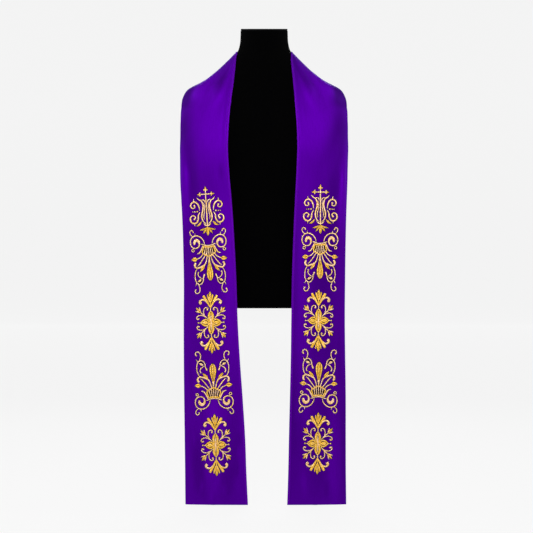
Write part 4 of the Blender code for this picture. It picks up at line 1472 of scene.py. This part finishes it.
class STOLE_OT_bands(bpy.types.Operator):
    """Adds the two bands of cloth with their rolled edges, folds and lining"""

    bl_idname = "stole.bands"
    bl_label = "Bands"

    def execute(self, context):
        settings = context.scene.stole.band
        finishes = [violet_satin(settings), violet_lining(settings)]
        for side in SIDES:
            band = Band(side, settings)
            points, faces, kinds, place, depth, far_edge = band.mesh_parts()
            piece = new_mesh_object(f"band_{side}", points, faces, finishes, place)
            piece.data.polygons.foreach_set("material_index", kinds)
            # depth holds the painted light and painted shade of the satin.
            add_float_attribute(piece, "depth", np.clip(depth, 0.0, 1.0))
            # Distance from the outer edge, which places the painted highlight along it.
            add_float_attribute(piece, "far_edge", far_edge)
            turn_outwards(piece)
            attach(piece, "root")
            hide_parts(f"stole_{side}")
            round(band.middle_length(), 3)
            round(band.cut_area(), 4)
        return {"FINISHED"}


# ---------------------------------------------------------------------------------------------
# The embroidery
# ---------------------------------------------------------------------------------------------

# Sizes of the strokes, in millimetres.
MM = 1000.0
# The painted shadow under and beside the strokes: its height, and its widest strip.
SHADOW_BEDDING_HEIGHT = 0.10
SHADOW_BEDDING_STRIP = 2.5  # the widest strip of bedding
LEAST_HALF, LEAST_PART = 0.18, 0.12
LEAST_HEIGHT, MOST_HEIGHT, BEAD_HEIGHT = 0.16, 0.85, 0.95
WIDEST_VEIN = 0.35  # of a leaf's part
# The colour of the thread goes by its breadth, which is 4 for the richest gold.
RICH_BREADTH, PALE_BREADTH = 4.0, 2.0
STEM_RISE, LEAF_RISE = 0.42, 1.25  # a stem's height by its half width, and a leaf's by a stem's
# Across a stroke: share of its half width, and of its height. Below 0 is inside the cloth.
STROKE_SECTION = np.array([
    (-1.0, -1.0), (-0.93, 0.45), (-0.55, 0.88), (0.0, 1.0), (0.55, 0.88), (0.93, 0.45),
    (1.0, -1.0),
])
END_STEPS = ((0.45, 0.88), (0.80, 0.55))  # past each end: share of the half width, and scale
BEAD_CORNERS = 12
BEAD_STEPS = ((0.93, 0.45), (0.6, 0.86))  # of its radius and height
RING_CORNERS = 20
MIRRORS = {"": ((1, 1),), "x": ((1, 1), (-1, 1)), "h": ((1, 1), (1, -1)),
           "xh": ((1, 1), (-1, 1), (1, -1), (-1, -1))}


class Stitching:
    """Collects the closed strokes of one motif, in millimetres on its own plane."""

    def __init__(self, settings):
        self.spacing, self.spare = MM * settings.spacing, MM * settings.shadow_bedding
        self.sunk = MM * settings.sunk
        self.points, self.threads, self.faces, self.kinds, self.breadths = [], [], [], [], []
        self.count = 0

    def add(self, points, threads, faces, mirror, breadth, kind=0):
        """Adds a stroke and its mirrored repeats. breadth is its half width at each point."""
        for flip_x, flip_h in MIRRORS[mirror]:
            self.breadths.append(breadth)
            self.points.append(points * np.array([flip_x, flip_h, 1.0]))
            self.threads.append(threads)
            order = -1 if flip_x * flip_h < 0 else 1
            self.faces += [tuple(self.count + v for v in face[::order]) for face in faces]
            self.kinds += [kind] * len(faces)
            self.count += len(points)

    def line(self, knots):
        """Centre points, directions and half widths along a smooth curve through the knots."""
        knots = np.array(knots, float)
        lengths = np.linalg.norm(np.diff(knots[:, :2], axis=0), axis=1)[:, None]
        steps = np.diff(knots, axis=0) / lengths
        slopes = np.repeat(steps[:1], len(knots), 0)
        if len(knots) > 2:
            slopes[1:-1] = inner_slopes(steps, lengths)
            slopes[0] = 1.5 * steps[0] - 0.5 * slopes[1]
            slopes[-1] = 1.5 * steps[-1] - 0.5 * slopes[-2]
        samples = []
        for row in range(len(knots) - 1):
            count = max(2, math.ceil(lengths[row, 0] / self.spacing))
            t = np.arange(count + (row == len(knots) - 2))[:, None] / count
            samples.append(curve_between(knots[row], knots[row + 1], slopes[row],
                                         slopes[row + 1], lengths[row], t))
        samples = np.concatenate(samples)
        centre = samples[:, :2]
        return centre, unit_slopes(centre), np.maximum(samples[:, 2], LEAST_HALF)

    def strip(self, centre, direction, half, mirror, tall=1.0, closed=False, shadow_bedding=False,
              rich=False):
        """One domed band of satin stitch along a line, or the flat strip of painted shadow under
        and beside it.
        """
        scale = np.ones(len(half))
        if not closed:
            centre, direction, half, scale = rounded_ends(centre, direction, half)
        if shadow_bedding:
            wide = half + self.spare
            flat = np.linspace(-0.97, 0.97, 2 + int(2.0 * wide.max() / SHADOW_BEDDING_STRIP))
            share = np.concatenate([[-1.0], flat, [1.0]])
            rise = np.where(np.abs(share) < 1.0, 0.9, -1.0)
            height = np.full(len(half), SHADOW_BEDDING_HEIGHT)
        else:
            wide = half
            share, rise = STROKE_SECTION.T
            height = tall * np.clip(STEM_RISE * half, LEAST_HEIGHT, MOST_HEIGHT) * scale
        out = wide[:, None] * share
        rings, around = out.shape
        points = np.zeros((rings, around, 3))
        points[..., :2] = centre[:, None] + to_left(direction)[:, None] * out[..., None]
        points[..., 2] = np.where(rise < 0, -self.sunk, height[:, None] * rise)
        steps = np.linalg.norm(np.diff(centre, axis=0), axis=1)
        along = np.concatenate([[0.0], np.cumsum(steps)])
        threads = np.stack([np.broadcast_to(along[:, None], out.shape), out], axis=-1)
        index = np.arange(rings * around).reshape(rings, around)
        if closed:
            index = np.concatenate([index, index[:1]])
        turned = np.roll(index, -1, axis=1)
        quads = np.stack([index[:-1], index[1:], turned[1:], turned[:-1]], axis=-1)
        faces = quads.reshape(-1, 4).tolist()
        if not closed:
            faces += [index[0].tolist(), index[-1][::-1].tolist()]
        breadth = np.full(len(wide), RICH_BREADTH) if rich else np.minimum(wide, PALE_BREADTH)
        self.add(points.reshape(-1, 3), threads.reshape(-1, 2) / MM, faces, mirror,
                 np.repeat(breadth, around), int(shadow_bedding))

    def stem(self, stroke):
        line = self.line(stroke.points)
        # A strip of painted shadow under and beside the stroke, then the gold.
        self.strip(*line, stroke.mirror, shadow_bedding=True)
        self.strip(*line, stroke.mirror, rich=stroke.rich)

    def ground(self, stroke):
        """A fill of painted shadow alone, with no gold over it."""
        self.strip(*self.line(stroke.points), stroke.mirror, shadow_bedding=True)

    def leaf(self, stroke):
        """Parts that lie side by side along a leaf, over a strip of painted shadow that shows in
        the veins between them.
        """
        centre, direction, half = self.line(stroke.points)
        self.strip(centre, direction, half, stroke.mirror, shadow_bedding=True)
        part_half = half / stroke.parts
        vein = np.minimum(0.5 * stroke.vein, WIDEST_VEIN * part_half)
        for part in range(stroke.parts):
            offset = (2 * part + 1 - stroke.parts) * part_half
            moved = centre + to_left(direction) * offset[:, None]
            self.strip(moved, unit_slopes(moved), np.maximum(part_half - vein, LEAST_PART),
                       stroke.mirror, LEAF_RISE, rich=stroke.rich)

    def ring(self, stroke):
        """A ring over a strip of painted shadow, with painted shadow filling its middle."""
        x, h, radius = stroke.points[0]
        hole = stroke.vein
        middle, half = 0.5 * (radius + hole), 0.5 * (radius - hole)
        direction = circle(RING_CORNERS)[:, ::-1] * (-1.0, 1.0)
        centre = circle(RING_CORNERS) * middle + (x, h)
        for shadow_bedding in (True, False):
            self.strip(centre, direction, np.full(RING_CORNERS, half), stroke.mirror,
                       closed=True, shadow_bedding=shadow_bedding)
        self.dome(x, h, ((hole, -self.sunk), (hole, SHADOW_BEDDING_HEIGHT)), SHADOW_BEDDING_HEIGHT,
                  stroke.mirror, 1)

    def bead(self, stroke):
        """A small dome, stitched over and over, on a rim of painted shadow."""
        x, h, radius = stroke.points[0]
        wide, low = radius + self.spare, SHADOW_BEDDING_HEIGHT
        self.dome(x, h, ((wide, -self.sunk), (wide - 0.1, 0.8 * low)), low, stroke.mirror, 1)
        height = min(0.5 * radius, BEAD_HEIGHT)
        levels = [(radius, -self.sunk)]
        levels += [(reach * radius, rise * height) for reach, rise in BEAD_STEPS]
        self.dome(x, h, levels, height, stroke.mirror, 0)

    def dome(self, x, h, levels, height, mirror, kind):
        """A closed cap through circles of these radii and heights."""
        rings = [np.column_stack([circle(BEAD_CORNERS) * reach + (x, h),
                                  np.full(BEAD_CORNERS, rise)]) for reach, rise in levels]
        points = np.concatenate(rings + [np.array([[x, h, height]])])
        faces = ring_quads(len(levels), BEAD_CORNERS)
        top = len(levels) * BEAD_CORNERS
        last = range(top - BEAD_CORNERS, top)
        faces += [[here, there, top] for here, there in zip(last, [*last[1:], last[0]])]
        faces.append(list(range(BEAD_CORNERS))[::-1])
        self.add(points, points[:, :2] / MM, faces, mirror,
                 np.full(len(points), levels[0][0]), kind)


def circle(corners):
    """Points round a circle of radius 1."""
    turn = np.linspace(0.0, 2.0 * np.pi, corners, endpoint=False)
    return np.stack([np.cos(turn), np.sin(turn)], axis=1)


def to_left(direction):
    """The directions a quarter turn to the left of these."""
    return np.stack([-direction[:, 1], direction[:, 0]], axis=1)


def unit_slopes(points):
    """Directions along a row of points."""
    slopes = np.gradient(points, axis=0)
    return slopes / np.linalg.norm(slopes, axis=1)[:, None]


def rounded_ends(centre, direction, half):
    """Adds shrinking rings past both ends of a line, and gives the scale of each ring."""
    rows = [(point, way, width, 1.0) for point, way, width in zip(centre, direction, half)]

    def past(end, way):
        point, slope, width, _ = rows[end]
        return [(point + way * slope * width * step, slope, width * shrink, shrink)
                for step, shrink in END_STEPS]

    rows = past(0, -1.0)[::-1] + rows + past(-1, 1.0)
    return [np.array(column) for column in zip(*rows)]


def lay_on_cloth(points, motif, tree):
    """Moves a motif's points from its plane onto the face of the band."""
    turn = math.radians(motif.lean + motif.turn)
    cosine, sine = math.cos(turn), math.sin(turn)
    x, h, rise = (0.001 * points.T) * np.array([motif.wide, motif.tall, 1.0])[:, None]
    world_x = motif.x + cosine * x - sine * h
    world_z = motif.z + sine * x + cosine * h
    laid = []
    for px, pz, height in zip(world_x, world_z, rise):
        place, normal, _, _ = tree.ray_cast(Vector((px, -1.0, pz)), Vector((0.0, 1.0, 0.0)))
        if place is None:
            raise RuntimeError(f"{motif.name} reaches past the edge of its band")
        if normal.y > 0.0:
            normal.negate()
        laid.append(place + normal * height)
    return laid


class STOLE_OT_embroidery(bpy.types.Operator):
    """Adds the ten embroidered motifs on the faces of the bands"""

    bl_idname = "stole.embroidery"
    bl_label = "Embroidery"

    def execute(self, context):
        settings = context.scene.stole.embroidery
        threads = [gold_thread(settings), shadow_bedding_thread(settings)]
        trees = {side: Band(side, context.scene.stole.band).face_tree() for side in SIDES}
        for motif in MOTIFS:
            stitching = Stitching(settings)
            for stroke in motif.design:
                getattr(stitching, stroke.form)(stroke)
            points = lay_on_cloth(np.concatenate(stitching.points), motif, trees[motif.side])
            piece = new_mesh_object(
                f"motif_{motif.name}", points, stitching.faces, threads,
                np.concatenate(stitching.threads), "thread",
            )
            piece.data.polygons.foreach_set("material_index", stitching.kinds)
            add_float_attribute(piece, "breadth", np.concatenate(stitching.breadths))
            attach(piece, "root")
        return {"FINISHED"}


# ---------------------------------------------------------------------------------------------
# The stage
# ---------------------------------------------------------------------------------------------

CAMERA_PLACE = (0.0064, AXIS_Y - 6.0, 0.64625)
CAMERA_LENS, CAMERA_SENSOR = 147.1, 36.0
FLOOR_RADIUS, FLOOR_HEIGHT = 18.0, -0.0002
SWEEP_RADIUS, SWEEP_STEPS = 2.5, 12
WALL_HEIGHT = 5.0
SURROUND_GREY, SURROUND_STRENGTH = 0.92, 0.15
# Each soft box: its place, what it is aimed at, its size, and the setting with its power.
SOFT_BOXES = {
    "key_box": ((0.0, -2.2, 1.85), (0.0, 0.0, 1.1), 0.9, "key_power"),
    "left_box": ((-3.2, 0.4, 2.2), (0.0, 0.0, 0.8), 1.8, "rim_power"),
    "right_box": ((3.2, 0.4, 2.2), (0.0, 0.0, 0.8), 1.8, "rim_power"),
    "back_box": ((0.0, 3.2, 2.6), (0.0, 0.0, 0.8), 1.8, "rim_power"),
    "top_box": ((0.0, -0.7, 2.9), (0.0, -0.1, 1.2), 1.2, "top_power"),
}


class STOLE_OT_stage(bpy.types.Operator):
    """Adds the pale floor and backdrop, the soft boxes and the camera"""

    bl_idname = "stole.stage"
    bl_label = "Stage"

    def execute(self, context):
        settings = context.scene.stole.stage
        self.sweep(settings)
        for name, (place, target, size, power_name) in SOFT_BOXES.items():
            self.soft_box(name, place, target, size, getattr(settings, power_name))
        self.world(context)
        camera_data = bpy.data.cameras.new("camera")
        camera_data.lens = CAMERA_LENS
        camera_data.sensor_width = CAMERA_SENSOR
        camera_data.clip_end = 80.0
        camera = bpy.data.objects.new("camera", camera_data)
        camera.location = CAMERA_PLACE
        camera.rotation_euler = (math.radians(90.0), 0.0, 0.0)
        context.scene.collection.objects.link(camera)
        context.scene.camera = camera
        context.scene.view_settings.view_transform = "Standard"
        return {"FINISHED"}

    def sweep(self, settings):
        """A round floor whose rim curves up into a low wall, so that it is pale from all sides."""
        deselect_all()
        bpy.ops.mesh.primitive_circle_add(
            vertices=96, radius=FLOOR_RADIUS, fill_type="NGON", location=(0.0, 0.0, FLOOR_HEIGHT)
        )
        paper = bpy.context.object
        bpy.ops.object.mode_set(mode="EDIT")
        select_edges(paper, lambda a, b: True)
        turns = [math.radians(90.0 * step / SWEEP_STEPS) for step in range(1, SWEEP_STEPS + 1)]
        profile = [(FLOOR_RADIUS, FLOOR_HEIGHT)]
        profile += [(FLOOR_RADIUS + SWEEP_RADIUS * math.sin(turn),
                     SWEEP_RADIUS * (1.0 - math.cos(turn))) for turn in turns]
        profile.append((profile[-1][0], WALL_HEIGHT))
        for old, new in zip(profile, profile[1:]):
            step_out(bpy.ops.mesh.extrude_edges_move, (0.0, 0.0), old, new)
        finish_piece(paper, "floor_and_backdrop", backdrop_paper(settings))

    def soft_box(self, name, place, target, size, power):
        data = bpy.data.lights.new(name, "AREA")
        data.shape = "SQUARE"
        data.size = size
        data.energy = power
        lamp = bpy.data.objects.new(name, data)
        lamp.location = place
        aim = Vector(target) - Vector(place)
        lamp.rotation_euler = aim.to_track_quat("-Z", "Y").to_euler()
        lamp.visible_camera = False
        bpy.context.scene.collection.objects.link(lamp)

    def world(self, context):
        surround = bpy.data.worlds.new("surround")
        surround.use_nodes = True
        background = surround.node_tree.nodes["Background"]
        background.inputs["Color"].default_value = (*[SURROUND_GREY] * 3, 1.0)
        background.inputs["Strength"].default_value = SURROUND_STRENGTH
        context.scene.world = surround


# ---------------------------------------------------------------------------------------------
# The panel and the run
# ---------------------------------------------------------------------------------------------


class STOLE_PT_panel(bpy.types.Panel):
    """Lists the groups of pieces and their settings"""

    bl_label = "Stole"
    bl_idname = "STOLE_PT_panel"
    bl_space_type = "VIEW_3D"
    bl_region_type = "UI"
    bl_category = "Stole"

    def draw(self, context):
        settings = context.scene.stole
        for group, operators in PANEL_ROWS:
            box = self.layout.box()
            values = getattr(settings, group)
            for key in values.__annotations__:
                box.prop(values, key)
            for operator in operators:
                box.operator(operator.bl_idname)


PANEL_ROWS = (
    ("form", (STOLE_OT_form_cover,)),
    ("stand", (STOLE_OT_neck_plate, STOLE_OT_stand)),
    ("band", (STOLE_OT_bands,)),
    ("embroidery", (STOLE_OT_embroidery,)),
    ("stage", (STOLE_OT_stage,)),
)

CLASSES = (
    StoleBandSettings,
    StoleEmbroiderySettings,
    StoleFormSettings,
    StoleStandSettings,
    StoleStageSettings,
    StoleSettings,
    STOLE_OT_form_cover,
    STOLE_OT_neck_plate,
    STOLE_OT_stand,
    STOLE_OT_bands,
    STOLE_OT_embroidery,
    STOLE_OT_stage,
    STOLE_PT_panel,
)


def register():
    for kind in CLASSES:
        bpy.utils.register_class(kind)
    bpy.types.Scene.stole = PointerProperty(type=StoleSettings)


def unregister():
    del bpy.types.Scene.stole
    for kind in reversed(CLASSES):
        bpy.utils.unregister_class(kind)


def main():
    """Makes every piece in order."""
    register()
    bpy.ops.stole.form_cover()
    bpy.ops.stole.neck_plate()
    bpy.ops.stole.stand()
    bpy.ops.stole.bands()
    bpy.ops.stole.embroidery()
    bpy.ops.stole.stage()


if __name__ == "__main__":
    main()
